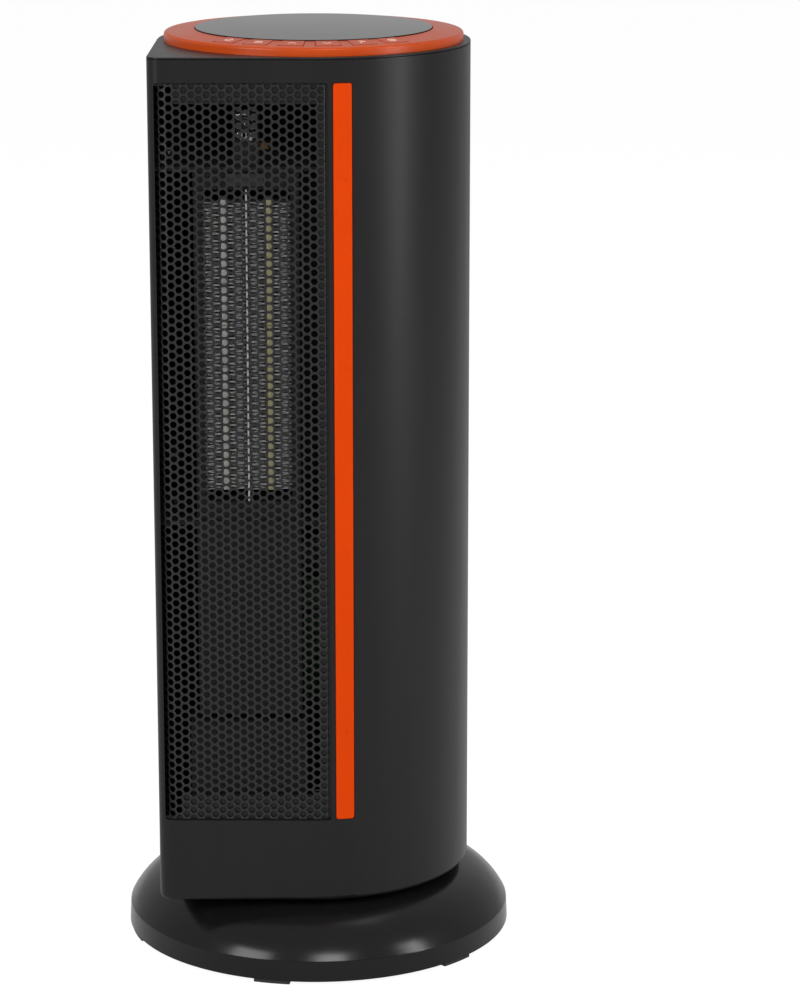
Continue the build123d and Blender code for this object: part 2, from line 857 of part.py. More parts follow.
with BuildPart() as front_housing:
    add(tower_shell())
    # ledge behind the grille
    add(
        slab(
            -tower_radius + 1, grille_right + 4, -tower_radius + 1, pocket_floor + pocket_ledge,
            grille_bottom - 4, grille_top + 4,
        )
    )
    # bosses for the screws that come through the rear housing, and lugs for the blower's shelves
    with Locations(*boss_planes(housing_seam, -1)):
        Cylinder(housing_boss_radius, housing_boss_length, align=on_plane)
    for x_low, x_high in (left_lug, right_lug):
        for low in (lug_low, top_lug_low):
            add(slab(x_low, x_high, lug_y - lug_depth / 2, lug_y + lug_depth / 2, low, low + lug_thickness))
    add(tower_block(0.5, tower_bottom, shell_top), mode=Mode.INTERSECT)
    add(tower_shell())
    split(bisect_by=Plane.XZ.offset(-housing_seam), keep=Keep.TOP)
    # pocket for the sheet, and the opening behind it
    add(
        upright_panel(
            grille_x, grille_z, grille_width, grille_height, grille_corner, -tower_radius - 1, pocket_floor
        ),
        mode=Mode.SUBTRACT,
    )
    add(
        slab(
            grille_left, grille_right - pocket_side_ledge, -tower_radius, -tower_radius + 12,
            grille_bottom + pocket_bottom_ledge, grille_top - pocket_top_ledge,
        ),
        mode=Mode.SUBTRACT,
    )
    add(
        slab(
            grille_left, grille_left + sheet_bend_width + 1.5, -tower_radius, -tower_radius + 12,
            grille_bottom + grille_corner, grille_top - grille_corner,
        ),
        mode=Mode.SUBTRACT,
    )
    add(groove_cut.part, mode=Mode.SUBTRACT)
    with Locations(*[Plane((x, -tower_radius - 1, z), z_dir=(0, -1, 0)) for x, z in strip_peg_points]):
        Hole(strip_peg_radius + 0.1, depth=8)
    with Locations(*boss_planes(housing_seam, 1)):
        screw_hole(housing_boss_length)
    with Locations(*[(x, y, z) for z in (motor_top, duct_top_z) for x, y in shelf_screw_points]):
        screw_hole(lug_thickness)
    with Locations(*facing([floor_screw_points[3], floor_screw_points[4]], (0, 0, -1))):
        flat_screw_hole(lip_thickness + 1)
finish(front_housing, "front_housing")

# Rear housing
intake_sector = intake_half_angle + degrees(fit / tower_radius)
frame_sector = intake_half_angle + degrees(intake_ledge / tower_radius)
opening_sector = intake_half_angle - degrees(intake_ledge / tower_radius)
switch_plane = Plane((0, switch_face, main_switch_z), x_dir=(-1, 0, 0), z_dir=(0, 1, 0))
switch_inside = switch_face - switch_pad
power_back = power_board_y + board_thickness
power_boss_heights = (power_board_bottom + power_boss_margin, power_board_top - power_boss_margin)
power_points = [(x, power_back, z) for x in (-power_boss_x, power_boss_x) for z in power_boss_heights]
rear_head_y = housing_seam + housing_screw_head_gap

with BuildPart() as rear_housing:
    # thicker frame round the intake, pad for the main switch, and bosses
    add(
        prism(
            ring_sector(inner_radius - intake_frame_depth, tower_radius - 1, 90, frame_sector),
            intake_bottom - intake_ledge, intake_top + intake_ledge,
        )
    )
    add(
        slab(
            -switch_bezel_width / 2 - 3, switch_bezel_width / 2 + 3, switch_inside, tower_radius - 1,
            main_switch_z - switch_bezel_height / 2 - 3, main_switch_z + switch_bezel_height / 2 + 3,
        )
    )
    with Locations(*[Plane(point, z_dir=(0, 1, 0)) for point in power_points]):
        Cylinder(power_boss_radius, tower_radius - power_back, align=on_plane)
    with Locations(*boss_planes(housing_seam, 1)):
        Cylinder(housing_boss_radius, tower_radius, align=on_plane)
    add(tower_block(0.5, tower_bottom, shell_top), mode=Mode.INTERSECT)
    add(tower_shell())
    split(bisect_by=Plane.XZ.offset(-housing_seam), keep=Keep.BOTTOM)
    # opening for the intake cover, with a ledge that the cover rests on
    add(
        prism(
            ring_sector(inner_radius, tower_radius + 1, 90, intake_sector),
            intake_bottom - fit, intake_top + fit,
        ),
        mode=Mode.SUBTRACT,
    )
    add(
        prism(
            ring_sector(inner_radius - intake_frame_depth - 1, tower_radius, 90, opening_sector),
            intake_bottom + intake_ledge, intake_top - intake_ledge,
        ),
        mode=Mode.SUBTRACT,
    )
    with BuildSketch(switch_plane):
        Rectangle(switch_bezel_width + 2 * fit, switch_bezel_height + 2 * fit)
    extrude(amount=8, mode=Mode.SUBTRACT)
    with BuildSketch(switch_plane):
        Rectangle(switch_body_width + 2 * fit, switch_body_height + 2 * fit)
    extrude(amount=-8, mode=Mode.SUBTRACT)
    with Locations(*[Plane(point, z_dir=(0, -1, 0)) for point in power_points]):
        screw_hole(power_screw_length)
    # screw holes with wells for their heads
    with Locations(*boss_planes(rear_head_y, 1)):
        screw_hole(housing_screw_head_gap)
        Cylinder(pan_head_radius + head_well_gap, tower_radius, align=on_plane, mode=Mode.SUBTRACT)
    with Locations(*facing(floor_screw_points[:3], (0, 0, -1))):
        flat_screw_hole(lip_thickness + 1)
finish(rear_housing, "rear_housing")

housing_screw = pan_screw(housing_screw_length)
with BuildPart() as housing_screws:
    with Locations(*boss_planes(rear_head_y, 1)):
        add(housing_screw)
finish(housing_screws, "housing_screws")

# Front grille: a flat perforated sheet, bent back at its left edge and flanged at its right
sheet_left = grille_left + sheet_bend_width
sheet_right = grille_right - sheet_side_gap
sheet_bottom = grille_bottom + sheet_end_gap
sheet_top = grille_top - sheet_end_gap
sheet_back = sheet_front + sheet_thickness
flat_right = sheet_right - sheet_flange_radius
column_pitch = perforation_pitch * sqrt(3) / 2
column_count = int((flat_right - sheet_left - perforation_radius) / column_pitch)
row_count = int((sheet_top - sheet_bottom - perforation_pitch) / perforation_pitch)
perforations = [
    (
        (sheet_left + flat_right) / 2 + (i - (column_count - 1) / 2) * column_pitch,
        grille_z + (j - row_count / 2 + (i % 2) / 2 + 0.25) * perforation_pitch,
    )
    for i in range(column_count)
    for j in range(row_count)
]
with BuildPart() as front_grille:
    with BuildSketch(Plane.XZ.offset(-sheet_back)):
        with Locations(((sheet_left + flat_right) / 2, grille_z)):
            Rectangle(flat_right - sheet_left, sheet_top - sheet_bottom)
        with Locations(*perforations):
            RegularPolygon(perforation_radius, 6, mode=Mode.SUBTRACT)
    extrude(amount=sheet_thickness)
    bend_half = sheet_bend_angle / 2
    add(
        prism(
            ring_sector(
                sheet_bend_radius - sheet_thickness, sheet_bend_radius, -90 - bend_half, bend_half,
                (sheet_left, sheet_front + sheet_bend_radius),
            ),
            sheet_bottom + grille_corner, sheet_top - grille_corner,
        )
    )
    add(
        prism(
            ring_sector(
                sheet_flange_radius - sheet_thickness, sheet_flange_radius, -45, 45,
                (flat_right, sheet_front + sheet_flange_radius),
            ),
            sheet_bottom, sheet_top,
        )
    )
finish(front_grille, "front_grille")

# Accent strip: a curved bar that stands slightly proud, pegged through the housing
with BuildPart() as strip_outline:
    add(upright_panel(strip_x, strip_z, strip_width, strip_height, strip_corner, -tower_radius - 2, 0))
    add(
        prism(disc(tower_radius + strip_proud), strip_bottom - 1, strip_bottom + strip_height + 1),
        mode=Mode.INTERSECT,
    )
    front_face = strip_outline.faces().filter_by(GeomType.CYLINDER).sort_by(SortBy.AREA)[-1]
    fillet(front_face.edges(), strip_edge)
with BuildPart() as accent_strip:
    add(strip_outline.part)
    add(prism(disc(groove_radius), strip_bottom - 2, strip_bottom + strip_height + 2), mode=Mode.SUBTRACT)
    with Locations(*[Plane((x, -groove_radius + 2, z), z_dir=(0, 1, 0)) for x, z in strip_peg_points]):
        Cylinder(strip_peg_radius, strip_peg_length + 2)
finish(accent_strip, "accent_strip")

# Top cover with its skirt, the window's seat and the bosses that hold the control board
control_boss_points = [
    (x, y) for x in (-control_boss_x, control_boss_x) for y in (control_boss_front, control_boss_back)
]
with BuildPart() as top_cover:
    add(tower_block(0, tower_top - cover_edge, tower_top))
    fillet(top_cover.edges().group_by(Axis.Z)[-1], cover_rounding)
    add(tower_block(housing_wall + fit, cover_bottom, tower_top - cover_edge))
    add(tower_block(housing_wall + fit, cover_bottom - skirt_height, cover_bottom))
    add(
        tower_block(housing_wall + fit + skirt_thickness, cover_bottom - skirt_height, cover_bottom),
        mode=Mode.SUBTRACT,
    )
    with BuildSketch(Plane.XY.offset(tower_top)):
        Circle(window_seat_radius + window_seat_width)
        Circle(window_seat_radius, mode=Mode.SUBTRACT)
    extrude(amount=window_seat_height)
    with BuildSketch(Plane.XY.offset(board_top)):
        with Locations(*control_boss_points):
            Circle(control_boss_radius)
    extrude(amount=cover_bottom - board_top)
    with BuildSketch(Plane.XY.offset(tower_top)):
        with Locations((0, display_y)):
            Rectangle(display_length + 2 * display_gap, display_width + 2 * display_gap)
    extrude(amount=-cover_thickness, mode=Mode.SUBTRACT)
    with Locations(*around(key_middle, key_angles, tower_top)):
        Hole(key_stem_radius + 0.5, depth=cover_thickness)
    with Locations(*facing([(x, y, board_top) for x, y in control_boss_points], (0, 0, -1))):
        screw_hole(control_screw_length)
finish(top_cover, "top_cover")


def ring_surface(radius):
    """Height of the ring's sloped top at a radius."""
    share = (radius - ring_inner) / (ring_radius - ring_inner)
    return tower_top + ring_inner_height + share * (ring_outer_height - ring_inner_height)


key_slot_half = key_half_angle + degrees(key_clearance / key_middle)
with BuildPart() as control_ring:
    with BuildSketch(Plane.XZ) as ring_profile:
        with BuildLine():
            Polyline(
                (ring_inner, tower_top), (ring_radius, tower_top), (ring_radius, ring_surface(ring_radius)),
                (ring_inner, ring_surface(ring_inner)), close=True,
            )
        make_face()
        # a sketch's own up axis is Y, whichever plane it lies on
        fillet(ring_profile.vertices().group_by(Axis.X)[-1].sort_by(Axis.Y)[-1], ring_rounding)
    revolve(axis=Axis.Z)
    for angle in key_angles:
        with BuildSketch(Plane.XY.offset(tower_top)):
            add(ring_sector(ring_inner - 1, key_outer + key_clearance, angle, key_slot_half))
        extrude(amount=ring_inner_height + 2, mode=Mode.SUBTRACT)
finish(control_ring, "control_ring")

for name, angle in zip(key_names, key_angles):
    start = radians(angle - key_half_angle)
    radial = Plane(origin=(0, 0, 0), x_dir=(cos(start), sin(start), 0), z_dir=(sin(start), -cos(start), 0))
    stem_x, stem_y, _ = around(key_middle, [angle], 0)[0]
    with BuildPart() as key:
        with BuildSketch(radial):
            with BuildLine():
                Polyline(
                    (key_inner, key_bottom), (key_outer, key_bottom),
                    (key_outer, ring_surface(key_outer) + key_proud),
                    (key_inner, ring_surface(key_inner) + key_proud), close=True,
                )
            make_face()
        revolve(axis=Axis.Z, revolution_arc=2 * key_half_angle)
        upright = key.edges().filter_by(Axis.Z)
        outer_edges = upright.sort_by(lambda edge: Vector(edge.center().X, edge.center().Y).length)[-2:]
        fillet(outer_edges, key_corner)
        with BuildSketch(Plane.XY.offset(switch_top + key_travel + 0.1)):
            with Locations((stem_x, stem_y)):
                Circle(key_stem_radius)
        extrude(amount=key_bottom - switch_top - key_travel)
    finish(key, name)

window_radius = ring_inner - window_gap
window_edge_z = tower_top + window_edge_height
crown_radius = (window_radius**2 + window_crown**2) / (2 * window_crown)
crown_angle = degrees(asin(window_radius / crown_radius))
with BuildPart() as display_window:
    with BuildSketch(Plane.XZ):
        with BuildLine():
            crown = CenterArc(
                (0, window_edge_z + window_crown - crown_radius), crown_radius, 90 - crown_angle, crown_angle
            )
            Polyline(
                crown @ 0, (window_radius, tower_top + window_seat_height),
                (0, tower_top + window_seat_height), crown @ 1,
            )
        make_face()
    revolve(axis=Axis.Z)
finish(display_window, "display_window")

# Control board, key switches and display
with BuildPart() as control_board:
    with BuildSketch(Plane.XY.offset(board_bottom)):
        Circle(control_board_radius)
        with Locations((0, control_board_back + control_board_radius)):
            Rectangle(4 * control_board_radius, 2 * control_board_radius, mode=Mode.SUBTRACT)
    extrude(amount=board_thickness)
    with Locations(*[(x, y, board_top) for x, y in control_boss_points]):
        screw_hole(board_thickness)
finish(control_board, "control_board")

with BuildPart() as key_switches:
    for angle in key_angles:
        x, y, _ = around(key_middle, [angle], 0)[0]
        with BuildSketch(Plane.XY.offset(board_top)):
            with Locations((x, y)):
                Rectangle(switch_side, switch_side, rotation=angle)
        extrude(amount=switch_height)
        with BuildSketch(Plane.XY.offset(board_top + switch_height)):
            with Locations((x, y)):
                Circle(switch_button_radius)
        extrude(amount=switch_button_height)
finish(key_switches, "key_switches")

with BuildPart() as display_module:
    add(
        slab(
            -display_length / 2, display_length / 2,
            display_y - display_width / 2, display_y + display_width / 2,
            board_top, tower_top + window_seat_height - display_gap,
        )
    )
    fillet(display_module.edges().filter_by(Axis.Z), 1)
finish(display_module, "display_module")

control_screw = pan_screw(control_screw_length)
with BuildPart() as control_screws:
    with Locations(*facing([(x, y, board_bottom) for x, y in control_boss_points], (0, 0, -1))):
        add(control_screw)
finish(control_screws, "control_screws")

# Ceramic heater in its frame
with BuildPart() as heater_frame:
    add(slab(frame_left, frame_right, frame_front, frame_back, duct_bottom, duct_top_z))
    add(
        slab(
            heater_x - heater_width / 2 - heater_gap, heater_x + heater_width / 2 + heater_gap,
            heater_front - heater_gap, heater_back + heater_gap,
            heater_bottom - heater_gap, heater_top + heater_gap,
        ),
        mode=Mode.SUBTRACT,
    )
    add(
        slab(
            heater_x - heater_width / 2 + frame_lip_reach, heater_x + heater_width / 2 - frame_lip_reach,
            frame_front - 1, frame_back + 1, heater_bottom + frame_lip_reach, heater_top - frame_lip_reach,
        ),
        mode=Mode.SUBTRACT,
    )
finish(heater_frame, "heater_frame")

fin_width = (heater_width - 3 * heater_plate - 2 * heater_stone) / 4 - 2 * heater_gap
half_width = heater_width / 2
plate_places = [heater_x - half_width + heater_plate / 2, heater_x, heater_x + half_width - heater_plate / 2]
column = fin_width + 2 * heater_gap
stone_offset = heater_plate / 2 + column + heater_stone / 2
stone_places = [heater_x - stone_offset, heater_x + stone_offset]
fin_offsets = (heater_plate / 2 + column / 2, heater_plate / 2 + column * 1.5 + heater_stone)
fin_places = [heater_x + side * offset for side in (-1, 1) for offset in fin_offsets]

with BuildPart() as heater_plates:
    for x in plate_places:
        add(
            slab(
                x - heater_plate / 2, x + heater_plate / 2,
                heater_front, heater_back, heater_bottom, heater_top,
            )
        )
finish(heater_plates, "heater_plates")

with BuildPart() as heater_stones:
    for x in stone_places:
        add(
            slab(
                x - heater_stone / 2, x + heater_stone / 2, heater_front, heater_back,
                heater_bottom + stone_bottom_margin, heater_top - stone_top_margin,
            )
        )
finish(heater_stones, "heater_stones")


def folded_fin(x):
    """Zigzag aluminium strip between two plates, as an outline on the XZ plane."""
    folds = int((heater_height - 2 * stone_bottom_margin) / fin_pitch) * 2
    low = heater_bottom + stone_bottom_margin
    sides = (x - fin_width / 2, x + fin_width / 2)
    notch = fin_thickness * fin_width / fin_pitch
    going_up = [(sides[0], low)]
    going_down = [(sides[0], low + fin_thickness)]
    for i in range(1, folds):
        z = low + i * fin_pitch / 2
        inward = notch if i % 2 == 0 else -notch
        outer_points = [(sides[i % 2], z), (sides[i % 2], z + fin_thickness)]
        inner_points = [(sides[i % 2] + inward, z + fin_thickness / 2)]
        going_up += outer_points if i % 2 else inner_points
        going_down += inner_points if i % 2 else outer_points
    top = low + folds * fin_pitch / 2
    going_up.append((sides[0], top + fin_thickness))
    going_down.append((sides[0], top))
    with BuildSketch() as outline:
        with BuildLine():
            Polyline(*going_up, *reversed(going_down), close=True)
        make_face()
    return outline.sketch


with BuildPart() as heater_fins:
    with BuildSketch(Plane.XZ.offset(-heater_back)):
        for x in fin_places:
            add(folded_fin(x))
    extrude(amount=heater_depth)
finish(heater_fins, "heater_fins")

cutout_z = heater_top + frame_end_border / 2
with BuildPart() as thermal_cutout:
    add(
        slab(
            heater_x - cutout_length / 2, heater_x + cutout_length / 2,
            frame_front - cutout_thickness, frame_front,
            cutout_z - cutout_height / 2, cutout_z + cutout_height / 2,
        )
    )
    fillet(thermal_cutout.edges().filter_by(Axis.Y), 1.2)
finish(thermal_cutout, "thermal_cutout")

# Blower: two shelves, the scroll between them, the impeller on its shaft, and the motor below
shelf_front = -tower_radius + shelf_front_gap
receiver_z = tower_top - receiver_drop
receiver_back = -tower_radius + receiver_setback


def shelf_outline():
    """A shelf that fits the housing's inside, cut short behind the blower and behind the grille."""
    with BuildSketch() as outline:
        add(tower_plan(housing_wall + fit))
        with Locations((0, shelf_back + tower_radius)):
            Rectangle(4 * tower_radius, 2 * tower_radius, mode=Mode.SUBTRACT)
        with Locations((0, shelf_front - tower_radius)):
            Rectangle(4 * tower_radius, 2 * tower_radius, mode=Mode.SUBTRACT)
        # corners that clear the housing's seam and the bosses behind it
        corner_width = tower_radius - boss_x + housing_boss_radius + 1
        with Locations((-tower_radius, shelf_back), (tower_radius, shelf_back)):
            Rectangle(2 * corner_width, 2 * shelf_back + shelf_corner_depth, mode=Mode.SUBTRACT)
    return outline.sketch


motor_screw_points = [(fan_x - motor_ear_spacing, fan_y), (fan_x + motor_ear_spacing, fan_y)]
cover_screw_y = (frame_back + shelf_front + motor_cover_depth) / 2
cover_screw_points = [
    (heater_x - motor_cover_screw_x, cover_screw_y), (heater_x + motor_cover_screw_x, cover_screw_y)
]
with BuildPart() as duct_base:
    add(prism(shelf_outline(), motor_top, duct_bottom))
    with Locations((fan_x, fan_y, duct_bottom)):
        Hole(fan_hub_radius)
    with Locations(
        *[(x, y, duct_bottom) for x, y in shelf_screw_points + motor_screw_points + cover_screw_points]
    ):
        screw_hole(shelf_thickness)
finish(duct_base, "duct_base")

with BuildPart() as duct_top:
    add(prism(shelf_outline(), duct_top_z, shelf_top))
    # post that holds the receiver up behind the grille
    add(
        slab(
            receiver_x - receiver_width / 2, receiver_x + receiver_width / 2,
            receiver_back, receiver_back + receiver_post_thickness,
            shelf_top, receiver_z + receiver_height / 2,
        )
    )
    with Locations((fan_x, fan_y, shelf_top)):
        Hole(top_bush_radius + screw_fit, depth=shelf_thickness)
    with Locations(*[(x, y, shelf_top) for x, y in shelf_screw_points]):
        screw_hole(shelf_thickness)
finish(duct_top, "duct_top")

with BuildPart() as ir_receiver:
    add(
        slab(
            receiver_x - receiver_width / 2, receiver_x + receiver_width / 2,
            receiver_back - board_thickness, receiver_back,
            receiver_z - receiver_height / 2, receiver_z + receiver_height / 2,
        )
    )
    can_width, can_depth, can_tall = receiver_can
    can_front = receiver_back - board_thickness - can_depth
    with Locations((receiver_x, can_front + can_depth / 2, receiver_z)):
        Box(can_width, can_depth, can_tall)
    with Locations((receiver_x, can_front, receiver_z + receiver_lens_rise)):
        Sphere(receiver_lens_radius)
finish(ir_receiver, "ir_receiver")

outlet_left = fan_x - scroll_radius
tongue_x = fan_x + fan_radius * 0.62
tongue_y = fan_y - fan_radius - scroll_wall
with BuildPart() as blower_scroll:
    with BuildSketch(Plane.XY.offset(duct_bottom)):
        add(ring_sector(scroll_radius, scroll_radius + scroll_wall, 120, 60, (fan_x, fan_y)))
        with Locations((outlet_left - scroll_wall / 2, (frame_back + fan_y) / 2)):
            Rectangle(scroll_wall, fan_y - frame_back)
        with Locations((tongue_x, (frame_back + tongue_y) / 2)):
            Rectangle(scroll_wall, tongue_y - frame_back)
        with Locations((tongue_x + 6, tongue_y)):
            Rectangle(14, scroll_wall)
    extrude(amount=duct_height)
finish(blower_scroll, "blower_scroll")

blade_inner = fan_radius - fan_blade_depth
blade_outer = fan_radius - fan_blade_thickness
blade_arc = ThreePointArc(
    (blade_inner + fan_blade_thickness, 0), ((blade_inner + blade_outer) / 2, fan_blade_depth * 0.1),
    (blade_outer * cos(radians(11)), blade_outer * sin(radians(11))),
)
with BuildPart() as impeller:
    with BuildSketch(Plane((fan_x, fan_y, fan_bottom))):
        with PolarLocations(0, fan_blade_count):
            SlotArc(blade_arc, fan_blade_thickness)
    extrude(amount=fan_top - fan_bottom)
    for low in (fan_bottom, fan_top - fan_disc):
        with BuildSketch(Plane((fan_x, fan_y, low))):
            Circle(fan_radius)
        extrude(amount=fan_disc)
    for share in (1 / 3, 2 / 3):
        with BuildSketch(Plane((fan_x, fan_y, fan_bottom + share * (fan_top - fan_bottom)))):
            Circle(fan_radius)
            Circle(blade_inner, mode=Mode.SUBTRACT)
        extrude(amount=fan_disc)
    for low in (fan_bottom, fan_top - fan_hub_height):
        with BuildSketch(Plane((fan_x, fan_y, low))):
            Circle(fan_hub_radius)
        extrude(amount=fan_hub_height)
    with Locations((fan_x, fan_y, fan_top)):
        Hole(shaft_radius + screw_fit)
finish(impeller, "impeller")

shaft_low = motor_bottom + motor_bell_height
shaft_high = shelf_top + top_bush_height - shelf_thickness - thrust_gap
with BuildPart() as fan_shaft:
    with BuildSketch(Plane((fan_x, fan_y, shaft_low))):
        Circle(shaft_radius)
    extrude(amount=shaft_high - shaft_low)
    chamfer(fan_shaft.edges().sort_by(Axis.Z)[-1], 0.4)
finish(fan_shaft, "fan_shaft")

with BuildPart() as top_bush:
    with BuildSketch(Plane((fan_x, fan_y, duct_top_z))):
        Circle(top_bush_radius)
    extrude(amount=top_bush_height)
    with BuildSketch(Plane((fan_x, fan_y, shelf_top))):
        Circle(top_bush_flange)
    extrude(amount=1.5)
    with Locations((fan_x, fan_y, duct_top_z + top_bush_height)):
        Hole(shaft_radius + running_fit)
finish(top_bush, "top_bush")

motor_ear_length = 2 * motor_ear_spacing + 9
with BuildPart() as fan_motor:
    with BuildSketch(Plane((fan_x, fan_y, motor_bottom + motor_bell_height))):
        Circle(motor_radius)
    extrude(amount=motor_height - motor_bell_height)
    with BuildSketch(Plane((fan_x, fan_y, motor_bottom))):
        Circle(motor_bell_radius)
    extrude(amount=motor_bell_height)
    fillet(fan_motor.edges().group_by(Axis.Z)[0], 2)
    with BuildSketch(Plane((fan_x, fan_y, motor_top - 2))):
        SlotOverall(motor_ear_length, 10)
    extrude(amount=2)
    with Locations((fan_x, fan_y, motor_top)):
        Hole(shaft_radius + running_fit, depth=motor_height - motor_bell_height + thrust_gap)
    with Locations(*[(x, y, motor_top) for x, y in motor_screw_points]):
        screw_hole(2)
finish(fan_motor, "fan_motor")

cover_screw = pan_screw(motor_cover_screw_length)
shelf_screw = pan_screw(shelf_screw_length)
motor_screw = pan_screw(motor_screw_length)
with BuildPart() as blower_screws:
    with Locations(*[(x, y, z) for z in (duct_bottom, shelf_top) for x, y in shelf_screw_points]):
        add(shelf_screw)
    with Locations(*[(x, y, duct_bottom) for x, y in motor_screw_points]):
        add(motor_screw)
    with Locations(*[(x, y, duct_bottom) for x, y in cover_screw_points]):
        add(cover_screw)
finish(blower_screws, "blower_screws")

# Cover in front of the motor, hung from the lower shelf, and the wiring box on the tower's floor
motor_cover_low = motor_top - motor_cover_height
motor_cover_back = shelf_front + motor_cover_thickness
with BuildPart() as motor_cover:
    add(slab(frame_left, frame_right, shelf_front, motor_cover_back, motor_cover_low, motor_top))
    add(
        slab(
            frame_left, frame_right, shelf_front, shelf_front + motor_cover_depth,
            motor_top - motor_cover_thickness, motor_top,
        )
    )
    for x in (frame_left, frame_right - motor_cover_thickness):
        add(
            slab(
                x, x + motor_cover_thickness, shelf_front, shelf_front + motor_cover_depth / 3,
                motor_cover_low, motor_top,
            )
        )
    with Locations(*[(x, y, motor_top) for x, y in cover_screw_points]):
        screw_hole(motor_cover_thickness)
finish(motor_cover, "motor_cover")

with BuildPart() as wiring_box:
    add(
        slab(
            wiring_box_left, wiring_box_right, wiring_box_front, wiring_box_front + wiring_box_depth,
            floor_top, floor_top + wiring_box_height,
        )
    )
    fillet(wiring_box.edges().filter_by(Axis.Z), 1.5)
    add(
        slab(
            wiring_box_left + wiring_box_wall, wiring_box_right - wiring_box_wall,
            wiring_box_front + wiring_box_wall, wiring_box_front + wiring_box_depth - wiring_box_wall,
            floor_top - 1, floor_top + wiring_box_height - wiring_box_wall,
        ),
        mode=Mode.SUBTRACT,
    )
    for x in wiring_box_lugs:
        with Locations((x, wiring_box_y, floor_top + wiring_box_wall / 2)):
            Box(wiring_box_lug, wiring_box_lug, wiring_box_wall)
    with Locations(*[(x, wiring_box_y, floor_top + wiring_box_wall) for x in wiring_box_lugs]):
        screw_hole(wiring_box_wall)
finish(wiring_box, "wiring_box")

# Intake cover with louvres, and the filter behind it
louvre_count = int((intake_height - 2 * louvre_pitch) / louvre_pitch)
intake_middle = (intake_bottom + intake_top) / 2
louvre_heights = [
    intake_middle + (i - (louvre_count - 1) / 2) * louvre_pitch for i in range(louvre_count)
]
louvre_angles = [90 + (i - (louvre_columns - 1) / 2) * louvre_pitch_angle for i in range(louvre_columns)]
with BuildPart() as intake_cover:
    with BuildSketch(Plane.XY.offset(intake_bottom)):
        add(ring_sector(inner_radius + fit, tower_radius, 90, intake_half_angle))
    extrude(amount=intake_height)
    with BuildSketch() as louvre_plan:
        for angle in louvre_angles:
            add(ring_sector(inner_radius - 2, tower_radius + 2, angle, louvre_half_angle))
    louvres = [
        prism(louvre_plan.sketch, z - louvre_height / 2, z + louvre_height / 2) for z in louvre_heights
    ]
    add(louvres, mode=Mode.SUBTRACT)
finish(intake_cover, "intake_cover")

filter_low = intake_bottom + intake_ledge - 2
filter_high = intake_top - intake_ledge + 2
filter_half = opening_sector + 1
cell_height = (filter_high - filter_low - filter_bar) / filter_cell_rows
cell_angle = 2 * filter_half / filter_cell_columns
cell_half = cell_angle / 2 - degrees(filter_bar / 2 / filter_outer)
with BuildPart() as dust_filter:
    with BuildSketch(Plane.XY.offset(filter_low)):
        add(ring_sector(filter_outer - filter_thickness, filter_outer, 90, filter_half))
    extrude(amount=filter_high - filter_low)
    with BuildSketch() as cell_plan:
        for column_index in range(filter_cell_columns):
            middle = 90 + (column_index - (filter_cell_columns - 1) / 2) * cell_angle
            add(ring_sector(filter_outer - 4, filter_outer + 2, middle, cell_half))
    cell_lows = [filter_low + row * cell_height for row in range(filter_cell_rows)]
    cells = [prism(cell_plan.sketch, low + filter_bar, low + cell_height) for low in cell_lows]
    add(cells, mode=Mode.SUBTRACT)
finish(dust_filter, "dust_filter")

# Main switch: its body in the rear housing, and the rocker
pivot = (0, switch_face - rocker_pivot_depth, main_switch_z)
with BuildPart() as main_switch:
    with BuildSketch(switch_plane):
        RectangleRounded(switch_bezel_width, switch_bezel_height, 1.5)
    extrude(amount=switch_bezel_thickness)
    with BuildSketch(switch_plane):
        Rectangle(switch_body_width, switch_body_height)
    extrude(amount=-switch_body_depth)
    with BuildSketch(switch_plane.offset(switch_bezel_thickness)):
        Rectangle(rocker_width + 2 * rocker_gap, rocker_height + 2 * rocker_gap)
    extrude(amount=-switch_bezel_thickness - rocker_well, mode=Mode.SUBTRACT)
    with Locations(Plane(pivot, z_dir=(1, 0, 0))):
        Cylinder(rocker_pivot_radius, rocker_width + 2 * rocker_gap)
finish(main_switch, "main_switch")

# half of the rocker's section: distance out from the pivot, and height above it
rocker_half = [
    (-rocker_foot_drop, rocker_foot_half),
    (rocker_shoulder, rocker_height / 2 - rocker_shoulder_inset),
    (rocker_tip, rocker_height / 2 - rocker_tip_inset),
]
rocker_section = rocker_half + [(rocker_hollow, 0)] + [(out, -up) for out, up in reversed(rocker_half)]
with BuildPart() as switch_rocker:
    with BuildSketch(Plane.YZ.offset(-rocker_width / 2)):
        with BuildLine():
            Polyline(*[(pivot[1] + out, pivot[2] + up) for out, up in rocker_section], close=True)
        make_face()
    extrude(amount=rocker_width)
    with Locations(Plane(pivot, z_dir=(1, 0, 0))):
        Cylinder(rocker_pivot_radius + running_fit, rocker_width + 1, mode=Mode.SUBTRACT)
finish(switch_rocker, "switch_rocker")

# Power board with its relays, choke and capacitor, and the tip-over switch
power_middle_z = (power_board_bottom + power_board_top) / 2
with BuildPart() as power_board:
    add(
        slab(
            -power_board_width / 2, power_board_width / 2, power_board_y, power_back,
            power_board_bottom, power_board_top,
        )
    )
    with Locations(*[Plane((x, power_board_y, z), z_dir=(0, -1, 0)) for x, _, z in power_points]):
        screw_hole(board_thickness)
    component_plane = Plane((0, power_board_y, power_middle_z), x_dir=(1, 0, 0), z_dir=(0, -1, 0))
    with BuildSketch(component_plane):
        with Locations(*relay_places):
            Rectangle(relay_size[0], relay_size[1])
    extrude(amount=relay_size[2])
    with BuildSketch(component_plane):
        with Locations(choke_place):
            Rectangle(choke_size[0], choke_size[1])
    extrude(amount=choke_size[2])
    with BuildSketch(component_plane):
        with Locations(can_place):
            Circle(can_radius)
        with Locations(*small_can_places):
            Circle(small_can_radius)
    extrude(amount=can_height)
finish(power_board, "power_board")

